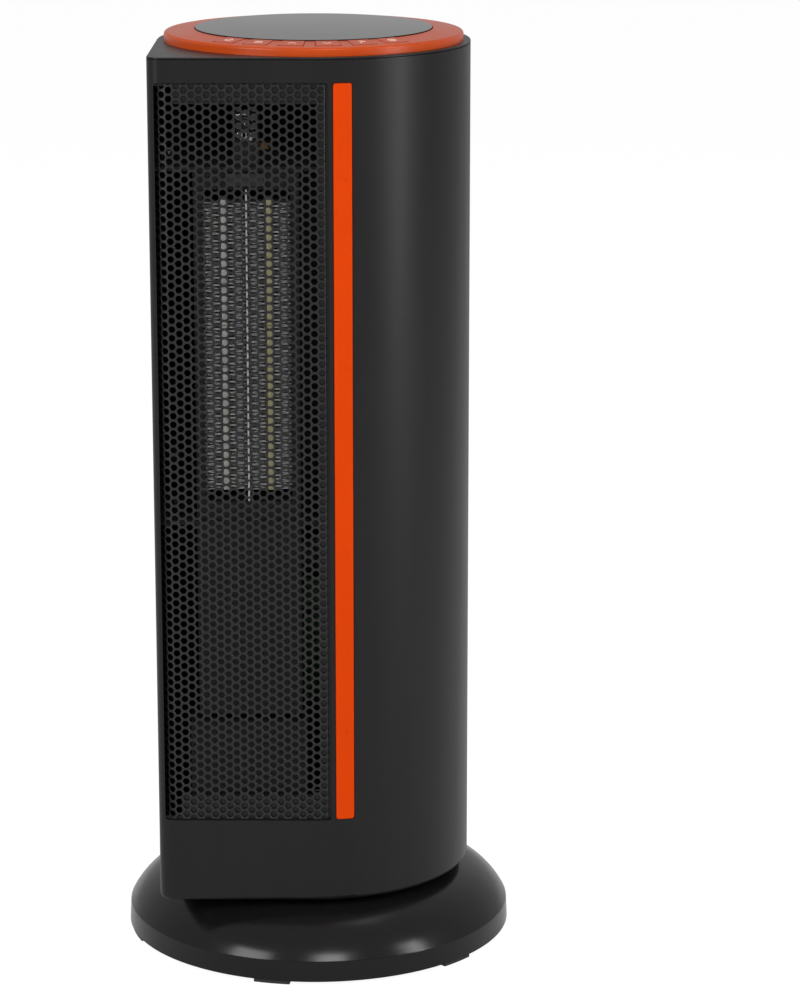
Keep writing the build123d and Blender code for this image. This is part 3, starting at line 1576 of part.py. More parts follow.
power_screw = pan_screw(power_screw_length)
with BuildPart() as power_screws:
    with Locations(*[Plane((x, power_board_y, z), z_dir=(0, -1, 0)) for x, _, z in power_points]):
        add(power_screw)
finish(power_screws, "power_screws")

with BuildPart() as tip_over_switch:
    add(
        slab(
            tip_x - tip_width / 2, tip_x + tip_width / 2, tip_y - tip_depth / 2, tip_y + tip_depth / 2,
            floor_top, floor_top + tip_height,
        )
    )
    fillet(tip_over_switch.edges().filter_by(Axis.Z), 1.5)
    add(
        slab(
            tip_x - tip_width / 2 - tip_lug, tip_x - tip_width / 2 + 2, tip_y - tip_depth / 2 + 2,
            tip_y + tip_depth / 2 - 2, floor_top, floor_top + tip_lug_thickness,
        )
    )
    with Locations((tip_lug_point[0], tip_lug_point[1], floor_top + tip_lug_thickness)):
        screw_hole(tip_lug_thickness)
finish(tip_over_switch, "tip_over_switch")

tip_screw = pan_screw(tip_screw_length)
wiring_box_screw = pan_screw(wiring_box_screw_length)
with BuildPart() as inner_floor_screws:
    with Locations((tip_lug_point[0], tip_lug_point[1], floor_top + tip_lug_thickness)):
        add(tip_screw)
    with Locations(*[(x, wiring_box_y, floor_top + wiring_box_wall) for x in wiring_box_lugs]):
        add(wiring_box_screw)
finish(inner_floor_screws, "inner_floor_screws")
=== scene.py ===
"""Looks of a tower fan heater on a round swivel base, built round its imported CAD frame.

The frame gives every rigid piece. This script dresses those pieces, and models what CAD draws
coarsely or leaves out: the perforated sheet, the folded fins, the key signs, the receiver's pins,
the filter's cloth and the screws under the base. Lengths are metres, the floor is z = 0, and the
front faces -Y.
"""

import json
import logging
import math
from dataclasses import dataclass
from enum import Enum
from functools import cache
from typing import Iterable, Optional, Sequence, Union

import bmesh
import bpy
from mathutils import Matrix, Vector

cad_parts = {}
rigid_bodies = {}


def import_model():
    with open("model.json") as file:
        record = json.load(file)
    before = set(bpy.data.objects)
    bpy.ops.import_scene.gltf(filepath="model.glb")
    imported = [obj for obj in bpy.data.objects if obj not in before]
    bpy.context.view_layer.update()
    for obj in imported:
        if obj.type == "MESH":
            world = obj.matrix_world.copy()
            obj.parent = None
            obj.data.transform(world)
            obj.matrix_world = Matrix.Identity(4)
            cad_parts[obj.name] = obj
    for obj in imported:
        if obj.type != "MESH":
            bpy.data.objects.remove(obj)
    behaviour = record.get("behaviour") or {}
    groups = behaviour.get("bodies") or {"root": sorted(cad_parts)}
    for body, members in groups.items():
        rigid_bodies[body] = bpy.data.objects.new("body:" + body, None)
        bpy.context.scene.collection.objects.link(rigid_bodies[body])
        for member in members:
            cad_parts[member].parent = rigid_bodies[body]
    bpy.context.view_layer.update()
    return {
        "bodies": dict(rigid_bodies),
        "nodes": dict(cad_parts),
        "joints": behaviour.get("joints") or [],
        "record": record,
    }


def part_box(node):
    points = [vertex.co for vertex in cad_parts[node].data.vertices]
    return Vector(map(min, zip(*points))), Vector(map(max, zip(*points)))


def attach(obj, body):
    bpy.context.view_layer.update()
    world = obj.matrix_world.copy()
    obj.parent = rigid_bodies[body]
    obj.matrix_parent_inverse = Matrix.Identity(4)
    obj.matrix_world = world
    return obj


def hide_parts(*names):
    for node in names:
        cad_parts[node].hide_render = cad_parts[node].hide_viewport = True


log = logging.getLogger("tower_heater")

MM = 0.001
MICRON = 0.001 * MM
Triple = tuple[float, float, float]
Point = tuple[float, float]
Inputs = dict[Union[str, int], object]


class Slot(Enum):
    """The record's material slots by name. A new piece is handed one, but nothing reads it."""

    SHEET = "grille_steel"
    FINS = "fin_aluminium"
    ORANGE = "orange_plastic"
    BLACK = "black_plastic"
    SCREW = "screw_steel"


class Body(Enum):
    """The frame's two large bodies. A key's body is named after the key."""

    BASE = "base"
    TOWER = "tower"


class Socket(Enum):
    """What a node group's input or output carries."""

    NUMBER = "NodeSocketFloat"
    VECTOR = "NodeSocketVector"
    COLOUR = "NodeSocketColor"


def opaque(colour: Triple) -> tuple[float, float, float, float]:
    """A colour with full alpha, as sockets take it."""
    return (*colour, 1.0)


class NodeCanvas:
    """A node tree with short ways to add, place and join nodes."""

    column_step = 190.0
    row_step = 170.0
    rows = 4

    def __init__(self, tree: bpy.types.NodeTree) -> None:
        """Keeps the tree that the nodes go into."""
        self.tree = tree

    def add(self, kind: str, inputs: Optional[Inputs] = None, **values: object) -> bpy.types.Node:
        """Adds a node.

        Args:
            kind: the node's type name, such as ShaderNodeTexNoise.
            inputs: what its inputs get, as feed() takes it.
            values: attributes to set on it.

        Returns:
            The new node.
        """
        node = self.tree.nodes.new(kind)
        count = len(self.tree.nodes)
        node.location = (count * self.column_step, -(count % self.rows) * self.row_step)
        for name, value in values.items():
            setattr(node, name, value)
        self.feed(node, inputs or {})
        return node

    def feed(self, node: bpy.types.Node, inputs: Inputs) -> None:
        """Fills a node's inputs.

        Args:
            node: the node.
            inputs: for an input's name or number, the socket to link or the value to set.
        """
        for name, value in inputs.items():
            if isinstance(value, bpy.types.NodeSocket):
                self.tree.links.new(value, node.inputs[name])
            else:
                node.inputs[name].default_value = value

    def group(self, tree: bpy.types.NodeTree, inputs: Inputs) -> bpy.types.Node:
        """Places a node group."""
        return self.add("ShaderNodeGroup", inputs, node_tree=tree)

    def calc(self, operation: str, *values: object, clamp: bool = False) -> bpy.types.NodeSocket:
        """The result of a Math node on sockets and plain numbers."""
        node = self.add("ShaderNodeMath", dict(enumerate(values)), operation=operation, use_clamp=clamp)
        return node.outputs[0]

    def blend(self, factor: object, first: object, second: object) -> bpy.types.NodeSocket:
        """The first colour where the factor is 0, and the second where it is 1."""
        inputs = {"Factor": factor, "A": first, "B": second}
        return self.add("ShaderNodeMix", inputs, data_type="RGBA").outputs["Result"]

    def noise(self, position: object, scale: object, detail: float,
              roughness: float = 0.5) -> bpy.types.NodeSocket:
        """The value of a Noise texture."""
        inputs = {"Vector": position, "Scale": scale, "Detail": detail, "Roughness": roughness}
        return self.add("ShaderNodeTexNoise", inputs).outputs["Fac"]


class Effects:
    """Node groups that more than one finish uses, each built once."""

    fine_detail = 3.0
    cloud_detail = 5.0
    cloud_roughness = 0.6
    cloud_range = (0.32, 0.68)
    dust_slope = 0.3
    dust_colour: Triple = (0.42, 0.40, 0.37)
    speck_scale = 420.0
    speck_detail = 6.0

    @staticmethod
    def _start(name: str, inputs: dict[str, Socket], outputs: dict[str, Socket]
               ) -> tuple[NodeCanvas, dict[str, bpy.types.NodeSocket], bpy.types.Node]:
        """Starts a group with its sockets.

        Args:
            name: the group's name.
            inputs: what each input carries, by its name.
            outputs: what each output carries, by its name.

        Returns:
            The canvas, the group's inputs by name, and the node that takes its results.
        """
        tree = bpy.data.node_groups.new(name, "ShaderNodeTree")
        for way, sockets in (("INPUT", inputs), ("OUTPUT", outputs)):
            for label, kind in sockets.items():
                tree.interface.new_socket(name=label, in_out=way, socket_type=kind.value)
        canvas = NodeCanvas(tree)
        given = canvas.add("NodeGroupInput")
        return canvas, {label: given.outputs[label] for label in inputs}, canvas.add("NodeGroupOutput")

    @classmethod
    @cache
    def grain(cls) -> bpy.types.NodeTree:
        """Moulded or coated grain: a fine height, and a slow cloudy mask."""
        canvas, given, result = cls._start(
            "moulded_grain",
            {"Position": Socket.VECTOR, "Grain Scale": Socket.NUMBER, "Cloud Scale": Socket.NUMBER},
            {"Height": Socket.NUMBER, "Cloud": Socket.NUMBER},
        )
        fine = canvas.noise(given["Position"], given["Grain Scale"], cls.fine_detail)
        cloud = canvas.noise(given["Position"], given["Cloud Scale"], cls.cloud_detail, cls.cloud_roughness)
        low, high = cls.cloud_range
        spread = canvas.add("ShaderNodeMapRange", {"Value": cloud, "From Min": low, "From Max": high},
                            clamp=True)
        canvas.feed(result, {"Height": fine, "Cloud": spread.outputs["Result"]})
        return canvas.tree

    @classmethod
    @cache
    def tint(cls) -> bpy.types.NodeTree:
        """A colour made a little darker and lighter by a mask."""
        canvas, given, result = cls._start(
            "mask_tint",
            {"Colour": Socket.COLOUR, "Mask": Socket.NUMBER, "Amount": Socket.NUMBER},
            {"Colour": Socket.COLOUR},
        )
        centred = canvas.calc("SUBTRACT", given["Mask"], 0.5)
        scaled = canvas.calc("MULTIPLY_ADD", centred, given["Amount"], 1.0)
        product = canvas.add("ShaderNodeVectorMath", {0: given["Colour"], "Scale": scaled},
                             operation="SCALE")
        canvas.feed(result, {"Colour": product.outputs["Vector"]})
        return canvas.tree

    @classmethod
    @cache
    def gloss_range(cls) -> bpy.types.NodeTree:
        """Roughness that wanders about a middle value, as on a handled surface."""
        canvas, given, result = cls._start(
            "gloss_range",
            {"Roughness": Socket.NUMBER, "Mask": Socket.NUMBER, "Amount": Socket.NUMBER},
            {"Roughness": Socket.NUMBER},
        )
        centred = canvas.calc("SUBTRACT", given["Mask"], 0.5)
        total = canvas.calc("MULTIPLY_ADD", centred, given["Amount"], given["Roughness"], clamp=True)
        canvas.feed(result, {"Roughness": total})
        return canvas.tree

    @classmethod
    @cache
    def brushing(cls) -> bpy.types.NodeTree:
        """Fine drawn or turned lines along one axis of the piece."""
        canvas, given, result = cls._start(
            "drawn_lines",
            {"Position": Socket.VECTOR, "Stretch": Socket.VECTOR},
            {"Height": Socket.NUMBER},
        )
        placed = canvas.add("ShaderNodeMapping", {"Vector": given["Position"], "Scale": given["Stretch"]})
        canvas.feed(result, {"Height": canvas.noise(placed.outputs["Vector"], 1.0, cls.fine_detail)})
        return canvas.tree

    @classmethod
    @cache
    def dust(cls) -> bpy.types.NodeTree:
        """Thin dust that settles on faces that look up, and fades out on walls."""
        canvas, given, result = cls._start(
            "settled_dust",
            {"Colour": Socket.COLOUR, "Position": Socket.VECTOR, "Amount": Socket.NUMBER},
            {"Colour": Socket.COLOUR},
        )
        facing = canvas.add("ShaderNodeSeparateXYZ",
                            {0: canvas.add("ShaderNodeNewGeometry").outputs["Normal"]})
        upward = canvas.add("ShaderNodeMapRange",
                            {"Value": facing.outputs["Z"], "From Min": cls.dust_slope}, clamp=True)
        specks = canvas.noise(given["Position"], cls.speck_scale, cls.speck_detail)
        speckled = canvas.calc("MULTIPLY", upward.outputs["Result"], specks)
        share = canvas.calc("MULTIPLY", speckled, given["Amount"], clamp=True)
        canvas.feed(result, {"Colour": canvas.blend(share, given["Colour"], opaque(cls.dust_colour))})
        return canvas.tree


@dataclass(frozen=True)
class Finish:
    """A surface: its colour and gloss, and how strongly each effect shows on it."""

    name: str
    colour: Triple
    roughness: float
    metallic: float = 0.0
    grain_scale: float = 2500.0
    grain_depth: float = 20 * MICRON
    cloud_scale: float = 18.0
    tint_amount: float = 0.12
    gloss_amount: float = 0.08
    dust_amount: float = 0.03
    coat: float = 0.0
    coat_roughness: float = 0.05
    specular: float = 0.5
    streaks: Optional[Triple] = None
    brushed: Optional[Triple] = None

    def base_colour(self, canvas: NodeCanvas, position: bpy.types.NodeSocket,
                    cloud: bpy.types.NodeSocket) -> bpy.types.NodeSocket:
        """The colour before dust. A finish with a pattern of its own overrides this.

        Args:
            canvas: the material's nodes.
            position: the place on the piece; not used here, only by a finish with a pattern of its own.
            cloud: the mask that makes the colour uneven.

        Returns:
            The socket that gives the colour.
        """
        inputs = {"Colour": opaque(self.colour), "Mask": cloud, "Amount": self.tint_amount}
        return canvas.group(Effects.tint(), inputs).outputs["Colour"]

    @staticmethod
    def _lines(canvas: NodeCanvas, position: bpy.types.NodeSocket,
               stretch: Triple) -> bpy.types.NodeSocket:
        """Lines drawn along the axis with the smallest stretch."""
        return canvas.group(Effects.brushing(), {"Position": position, "Stretch": stretch}).outputs["Height"]

    def material(self) -> bpy.types.Material:
        """Builds the material, or returns the one that is there.

        Returns:
            The finish as a node material.
        """
        made = bpy.data.materials.get(self.name)
        if made is not None:
            return made
        made = bpy.data.materials.new(self.name)
        made.use_nodes = True
        made.node_tree.nodes.clear()
        canvas = NodeCanvas(made.node_tree)
        position = canvas.add("ShaderNodeTexCoord").outputs["Object"]
        grain = canvas.group(Effects.grain(), {
            "Position": position, "Grain Scale": self.grain_scale, "Cloud Scale": self.cloud_scale})
        cloud, height = grain.outputs["Cloud"], grain.outputs["Height"]
        if self.streaks is not None:
            cloud = self._lines(canvas, position, self.streaks)
        if self.brushed is not None:
            height = self._lines(canvas, position, self.brushed)
        dusty = canvas.group(Effects.dust(), {
            "Colour": self.base_colour(canvas, position, cloud), "Position": position,
            "Amount": self.dust_amount})
        gloss = canvas.group(Effects.gloss_range(), {
            "Roughness": self.roughness, "Mask": cloud, "Amount": self.gloss_amount})
        bump = canvas.add("ShaderNodeBump", {
            "Strength": 1.0, "Distance": self.grain_depth, "Height": height})
        shader = canvas.add("ShaderNodeBsdfPrincipled", {
            "Base Color": dusty.outputs["Colour"],
            "Roughness": gloss.outputs["Roughness"],
            "Normal": bump.outputs["Normal"],
            "Metallic": self.metallic,
            "Specular IOR Level": self.specular,
            "Coat Weight": self.coat,
            "Coat Roughness": self.coat_roughness,
        })
        canvas.add("ShaderNodeOutputMaterial", {"Surface": shader.outputs["BSDF"]})
        return made


@dataclass(frozen=True)
class StoneFinish(Finish):
    """Heating stones wrapped in amber film: the right one looks olive, the left one grey."""

    film: Triple = (0.30, 0.29, 0.16)
    stone_length: float = 24 * MM
    border_x: float = -36 * MM
    joint_width: float = 0.3 * MM
    joint_colour: Triple = (0.06, 0.055, 0.04)

    def base_colour(self, canvas: NodeCanvas, position: bpy.types.NodeSocket,
                    cloud: bpy.types.NodeSocket) -> bpy.types.NodeSocket:
        """Grey on the left and olive on the right, with thin joints between the stones."""
        place = canvas.add("ShaderNodeSeparateXYZ", {0: position})
        right = canvas.calc("GREATER_THAN", place.outputs["X"], self.border_x)
        stone = canvas.blend(right, super().base_colour(canvas, position, cloud), opaque(self.film))
        along = canvas.calc("PINGPONG", place.outputs["Z"], self.stone_length / 2)
        joint = canvas.calc("LESS_THAN", along, self.joint_width)
        return canvas.blend(joint, stone, opaque(self.joint_colour))


@dataclass(frozen=True)
class BoardFinish(Finish):
    """Varnished circuit board with paler copper tracks under the green."""

    track: Triple = (0.08, 0.26, 0.10)
    track_pitch: float = 3.2 * MM
    track_share: float = 0.09

    def base_colour(self, canvas: NodeCanvas, position: bpy.types.NodeSocket,
                    cloud: bpy.types.NodeSocket) -> bpy.types.NodeSocket:
        """Green with tracks drawn by square cells."""
        cells = canvas.add("ShaderNodeTexVoronoi", {"Scale": 1 / self.track_pitch, "Vector": position},
                           distance="MANHATTAN", feature="DISTANCE_TO_EDGE")
        track = canvas.calc("LESS_THAN", cells.outputs["Distance"], self.track_share)
        return canvas.blend(track, super().base_colour(canvas, position, cloud), opaque(self.track))


CASING = Finish(
    "casing_paint", (0.0065, 0.0058, 0.0061), 0.36, grain_scale=1600, grain_depth=12 * MICRON,
    tint_amount=0.5, gloss_amount=0.14, dust_amount=0.02, specular=0.24, streaks=(70.0, 70.0, 7.0))
DOME = Finish(
    "base_gloss_black", (0.0035, 0.0033, 0.0037), 0.20, grain_scale=1200, grain_depth=6 * MICRON,
    cloud_scale=20, tint_amount=0.2, dust_amount=0.02, specular=0.28)
ORANGE = Finish(
    "orange_moulding", (0.50, 0.056, 0.0015), 0.32, grain_scale=1800, grain_depth=8 * MICRON,
    cloud_scale=30, tint_amount=0.06, gloss_amount=0.06, dust_amount=0.01, specular=0.26)
STRIP = Finish(
    "orange_strip", (0.61, 0.046, 0.0002), 0.5, grain_scale=1800, grain_depth=6 * MICRON,
    cloud_scale=12, tint_amount=0.08, gloss_amount=0.05, dust_amount=0.0, specular=0.06)
WINDOW = Finish(
    "window_gloss", (0.008, 0.007, 0.008), 0.12, grain_scale=300, grain_depth=4 * MICRON,
    cloud_scale=9, tint_amount=0.1, gloss_amount=0.05, dust_amount=0.02, specular=0.24)
SHEET = Finish(
    "coated_sheet", (0.0085, 0.0078, 0.0081), 0.36, grain_scale=2600, cloud_scale=60,
    tint_amount=0.15, gloss_amount=0.12, dust_amount=0.02, specular=0.34)
INNER = Finish(
    "inner_black_plastic", (0.008, 0.0076, 0.0078), 0.55, grain_scale=1800, cloud_scale=40,
    tint_amount=0.3, gloss_amount=0.1, dust_amount=0.06, specular=0.25)
FRAME = Finish(
    "heat_plastic", (0.008, 0.0072, 0.0072), 0.6, grain_scale=1500, grain_depth=30 * MICRON,
    cloud_scale=40, tint_amount=0.25, dust_amount=0.06, specular=0.25)
ACETAL = Finish(
    "natural_acetal", (0.62, 0.60, 0.54), 0.4, grain_scale=900, grain_depth=10 * MICRON,
    cloud_scale=60, tint_amount=0.08, dust_amount=0.05)
RUBBER = Finish(
    "black_rubber", (0.016, 0.016, 0.016), 0.78, grain_scale=1500, grain_depth=50 * MICRON,
    cloud_scale=80, tint_amount=0.3, gloss_amount=0.1, dust_amount=0.1)
ZINC = Finish(
    "zinc_plate", (0.50, 0.49, 0.45), 0.32, metallic=1.0, grain_depth=12 * MICRON, cloud_scale=200,
    tint_amount=0.25, gloss_amount=0.15, dust_amount=0.05, brushed=(5000.0, 5000.0, 800.0))
CAN_STEEL = Finish(
    "motor_can_steel", (0.42, 0.42, 0.43), 0.34, metallic=1.0, grain_depth=10 * MICRON, cloud_scale=50,
    tint_amount=0.2, gloss_amount=0.15, dust_amount=0.1, brushed=(900.0, 900.0, 4500.0))
GROUND_STEEL = Finish(
    "ground_steel", (0.58, 0.58, 0.59), 0.22, metallic=1.0, grain_depth=6 * MICRON, cloud_scale=70,
    tint_amount=0.1, gloss_amount=0.1, dust_amount=0.0, brushed=(1500.0, 1500.0, 9000.0))
BRONZE = Finish(
    "sintered_bronze", (0.45, 0.28, 0.12), 0.45, metallic=1.0, grain_scale=4000,
    grain_depth=30 * MICRON, cloud_scale=150, tint_amount=0.3, dust_amount=0.0)
ALUMINIUM = Finish(
    "fin_aluminium", (0.50, 0.49, 0.48), 0.46, metallic=0.8, grain_depth=10 * MICRON, cloud_scale=90,
    tint_amount=0.4, gloss_amount=0.2, dust_amount=0.05, brushed=(2500.0, 300.0, 2500.0))
STONES = StoneFinish(
    "wrapped_stones", (0.36, 0.355, 0.33), 0.55, grain_scale=1400, grain_depth=30 * MICRON,
    cloud_scale=120, tint_amount=0.3, dust_amount=0.05)
BOARD = BoardFinish(
    "varnished_board", (0.025, 0.12, 0.04), 0.3, grain_scale=1200, grain_depth=10 * MICRON,
    cloud_scale=60, tint_amount=0.2, dust_amount=0.05)
COMPONENT = Finish(
    "component_black", (0.02, 0.02, 0.021), 0.45, grain_scale=2200, grain_depth=10 * MICRON,
    cloud_scale=90, tint_amount=0.2, dust_amount=0.08)
SIGN = Finish(
    "key_sign_print", (0.92, 0.62, 0.54), 0.5, grain_scale=3000, grain_depth=4 * MICRON,
    cloud_scale=60, tint_amount=0.05, dust_amount=0.0)
LENS = Finish(
    "receiver_lens", (0.012, 0.010, 0.011), 0.08, grain_scale=300, grain_depth=2 * MICRON,
    cloud_scale=40, tint_amount=0.1, dust_amount=0.0, coat=1.0)
TIN = Finish(
    "tinned_pins", (0.62, 0.61, 0.58), 0.25, metallic=1.0, grain_scale=2600, grain_depth=10 * MICRON,
    cloud_scale=200, tint_amount=0.2, dust_amount=0.0)
CLOTH = Finish(
    "filter_cloth", (0.016, 0.016, 0.017), 0.8, grain_scale=2200, grain_depth=120 * MICRON,
    cloud_scale=60, tint_amount=0.3, dust_amount=0.3, specular=0.2)


def verts_in(geom: Iterable[object]) -> list[bmesh.types.BMVert]:
    """The vertices among an operator's results."""
    return [item for item in geom if isinstance(item, bmesh.types.BMVert)]


def whole(mesh: bmesh.types.BMesh) -> list:
    """All vertices, edges and faces."""
    return mesh.verts[:] + mesh.edges[:] + mesh.faces[:]


def loop_edges(verts: Iterable[bmesh.types.BMVert]) -> list[bmesh.types.BMEdge]:
    """The edges with both ends in a set of vertices."""
    chosen = set(verts)
    return list({edge for vert in chosen for edge in vert.link_edges
                 if edge.verts[0] in chosen and edge.verts[1] in chosen})


def grow_ring(mesh: bmesh.types.BMesh, ring: list[bmesh.types.BMEdge]) -> list[bmesh.types.BMVert]:
    """Draws walls out of a ring of edges.

    Args:
        mesh: the mesh that holds them.
        ring: the edges.

    Returns:
        The vertices at the walls' far side, still where the ring is.
    """
    return verts_in(bmesh.ops.extrude_edge_only(mesh, edges=ring)["geom"])


def ring_point(radius: float, angle: float, height: float) -> Vector:
    """A point on a circle about the swivel axis, with its angle in degrees."""
    turn = math.radians(angle)
    return Vector((radius * math.cos(turn), radius * math.sin(turn), height))


def facing(way: Vector, axis: str = "Z") -> Matrix:
    """The turn that points an object's axis along a way."""
    return way.to_track_quat(axis, "Y").to_matrix().to_4x4()


class Piece:
    """A mesh under construction, and the object that it becomes."""

    bevel_segments = 2
    sharp_angle = 32.0

    def __init__(self, name: str) -> None:
        """Starts an empty mesh under the name that the piece gets."""
        self.name = name
        self.mesh = bmesh.new()

    def block(self, low: Vector, high: Vector, bevel: float) -> None:
        """Adds a block with rounded edges.

        Args:
            low: its corner with the smallest coordinates.
            high: its corner with the largest.
            bevel: how far each edge is rounded.
        """
        matrix = Matrix.Translation((low + high) / 2) @ Matrix.Diagonal((*(high - low), 1.0))
        verts = bmesh.ops.create_cube(self.mesh, size=1.0, matrix=matrix)["verts"]
        bmesh.ops.bevel(self.mesh, geom=loop_edges(verts), offset=bevel, offset_type="OFFSET",
                        segments=self.bevel_segments, profile=0.5, affect="EDGES", material=-1)

    def rod(self, start: Vector, end: Vector, radius: float, sides: int) -> None:
        """Adds a closed cylinder.

        Args:
            start: the middle of one end.
            end: the middle of the other.
            radius: its radius.
            sides: how many flat sides stand for the round.
        """
        along = end - start
        matrix = Matrix.Translation((start + end) / 2) @ facing(along)
        bmesh.ops.create_cone(self.mesh, cap_ends=True, segments=sides, radius1=radius,
                              radius2=radius, depth=along.length, matrix=matrix)

    def prism(self, corners: Sequence[Vector], drop: Vector) -> None:
        """Adds a prism: one face between the corners, drawn along drop."""
        top = self.mesh.faces.new([self.mesh.verts.new(corner) for corner in corners])
        grown = bmesh.ops.extrude_face_region(self.mesh, geom=[top], use_keep_orig=True)["geom"]
        bmesh.ops.translate(self.mesh, verts=verts_in(grown), vec=drop)

    def finish(self, finish: Finish, body: Union[Body, str], slot: Slot,
               smooth: bool = False) -> bpy.types.Object:
        """Turns the mesh into an object that is dressed and rides on a body.

        Args:
            finish: the surface.
            body: the body it moves with.
            slot: not used.
            smooth: shade its faces smooth, with sharp corners kept.

        Returns:
            The new object.
        """
        bmesh.ops.recalc_face_normals(self.mesh, faces=self.mesh.faces[:])
        open_edges = sum(1 for edge in self.mesh.edges if not edge.is_manifold)
        data = bpy.data.meshes.new(self.name)
        self.mesh.to_mesh(data)
        self.mesh.free()
        if smooth:
            data.shade_smooth()
            data.set_sharp_from_angle(angle=math.radians(self.sharp_angle))
        data.materials.append(finish.material())
        made = bpy.data.objects.new(self.name, data)
        bpy.context.scene.collection.objects.link(made)
        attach(made, body.value if isinstance(body, Body) else body)
        log.info("%s: %d faces, %d edges open", self.name, len(data.polygons), open_edges)
        return made


@dataclass
class PerforatedSheet:
    """The front grille: round holes in staggered columns, bent back at the left edge."""

    hole_radius: float = 1.90 * MM
    hole_sides: int = 12
    edge_roll: float = 0.16 * MM
    thickness: float = 0.6 * MM
    row_pitch: float = 5.0 * MM
    row_shift: float = -1.55 * MM
    column_pitch: float = 4.23 * MM
    first_column: float = -78.25 * MM
    column_count: int = 21
    bend_columns: int = 2
    bend_start: float = -78.4 * MM
    bend_radius: float = 9.0 * MM
    bend_angle: float = 60.0
    flange_start: float = 7.8 * MM
    flange_radius: float = 1.2 * MM
    flange_cuts: Triple = (0.0, 0.33, 0.66)
    merge_distance: float = 0.02 * MM
    cut_tolerance: float = 0.0001 * MM

    def build(self) -> bpy.types.Object:
        """Models the sheet flat, bends its edges, and puts it in the CAD sheet's place.

        Returns:
            The sheet.
        """
        low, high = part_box("front_grille")
        piece = Piece("front_sheet")
        left = self.bend_start - self.bend_radius * math.radians(self.bend_angle)
        right = self.flange_start + self.flange_radius * math.pi / 2
        self._cell(piece.mesh)
        self._field(piece.mesh, low.z, high.z)
        self._trim(piece.mesh, Vector((left, 0, low.z)), Vector((right, 0, high.z)))
        self._flange_folds(piece.mesh, right)
        for vert in piece.mesh.verts:
            vert.co = self._bent(vert.co, low.y)
        sheet = piece.finish(SHEET, Body.TOWER, Slot.SHEET, smooth=True)
        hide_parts("front_grille")
        return sheet

    def _cell(self, mesh: bmesh.types.BMesh) -> None:
        """Models one hexagonal cell round a hole with a rolled front rim.

        Args:
            mesh: the empty mesh. The cell stays open at its six sides, where its neighbours join.
        """
        reach = self.row_pitch / math.sqrt(3)
        stretch = self.column_pitch / (reach * 1.5)
        rim_radius = self.hole_radius + self.edge_roll
        upright = Matrix.Rotation(math.radians(90), 4, "X")
        turned = Matrix.Rotation(math.radians(30), 4, "Y") @ upright
        corners = bmesh.ops.create_circle(mesh, segments=6, radius=reach, matrix=turned)["verts"]
        bmesh.ops.scale(mesh, verts=corners, vec=(stretch, 1, 1))
        rim = bmesh.ops.create_circle(mesh, segments=self.hole_sides, radius=rim_radius,
                                      matrix=upright)["verts"]
        ring = loop_edges(rim)
        front = bmesh.ops.bridge_loops(mesh, edges=loop_edges(corners) + ring)["faces"]
        behind = verts_in(bmesh.ops.duplicate(mesh, geom=front)["geom"])
        for vert in behind:
            on_rim = vert.co.length < (rim_radius + self.row_pitch / 2) / 2
            if on_rim:
                vert.co *= self.hole_radius / rim_radius
            vert.co.y = self.thickness
        for depth in (self.edge_roll, self.thickness):
            wall = grow_ring(mesh, ring)
            for vert in wall:
                outward = Vector((vert.co.x, 0, vert.co.z)).normalized()
                vert.co = outward * self.hole_radius + Vector((0, depth, 0))
            ring = loop_edges(wall)

    @staticmethod
    def _copies(mesh: bmesh.types.BMesh, steps: Iterable[Vector]) -> None:
        """Copies all faces to each of the steps."""
        original = mesh.faces[:]
        for step in steps:
            copied = bmesh.ops.duplicate(mesh, geom=original)["geom"]
            bmesh.ops.translate(mesh, verts=verts_in(copied), vec=step)

    def _field(self, mesh: bmesh.types.BMesh, bottom: float, top: float) -> None:
        """Fills a field larger than the sheet: one column of cells, then staggered columns.

        Args:
            mesh: the mesh with one cell.
            bottom: height of the sheet's lower edge.
            top: height of its upper edge.
        """
        before = self.bend_columns + 1
        rows = math.ceil((top - bottom) / self.row_pitch) + 2
        start_x = self.first_column - before * self.column_pitch
        start_z = (bottom + top) / 2 - rows / 2 * self.row_pitch + self.row_shift
        bmesh.ops.translate(mesh, verts=mesh.verts[:], vec=(start_x, 0, start_z))
        self._copies(mesh, [Vector((0, 0, row * self.row_pitch)) for row in range(1, rows + 1)])
        self._copies(mesh, [Vector((column * self.column_pitch, 0, column % 2 * self.row_pitch / 2))
                            for column in range(1, before + self.column_count + 2)])
        bmesh.ops.remove_doubles(mesh, verts=mesh.verts[:], dist=self.merge_distance)

    def _trim(self, mesh: bmesh.types.BMesh, low: Vector, high: Vector) -> None:
        """Cuts the field to the sheet's four edges and closes each cut.

        Args:
            mesh: the field of cells.
            low: the flat sheet's lower left corner.
            high: its upper right corner.
        """
        planes = (
            (low, Vector((-1, 0, 0))),
            (high, Vector((1, 0, 0))),
            (low, Vector((0, 0, -1))),
            (high, Vector((0, 0, 1))),
        )
        for place, outward in planes:
            cut = bmesh.ops.bisect_plane(mesh, geom=whole(mesh), dist=self.cut_tolerance, plane_co=place,
                                         plane_no=outward, clear_outer=True)["geom_cut"]
            edges = [item for item in cut if isinstance(item, bmesh.types.BMEdge)]
            bmesh.ops.holes_fill(mesh, edges=edges, sides=0)

    def _flange_folds(self, mesh: bmesh.types.BMesh, right: float) -> None:
        """Cuts lines into the narrow right flange, along which it bends."""
        for share in self.flange_cuts:
            place = Vector((self.flange_start + share * (right - self.flange_start), 0, 0))
            bmesh.ops.bisect_plane(mesh, geom=whole(mesh), dist=self.cut_tolerance, plane_co=place,
                                   plane_no=Vector((1, 0, 0)))

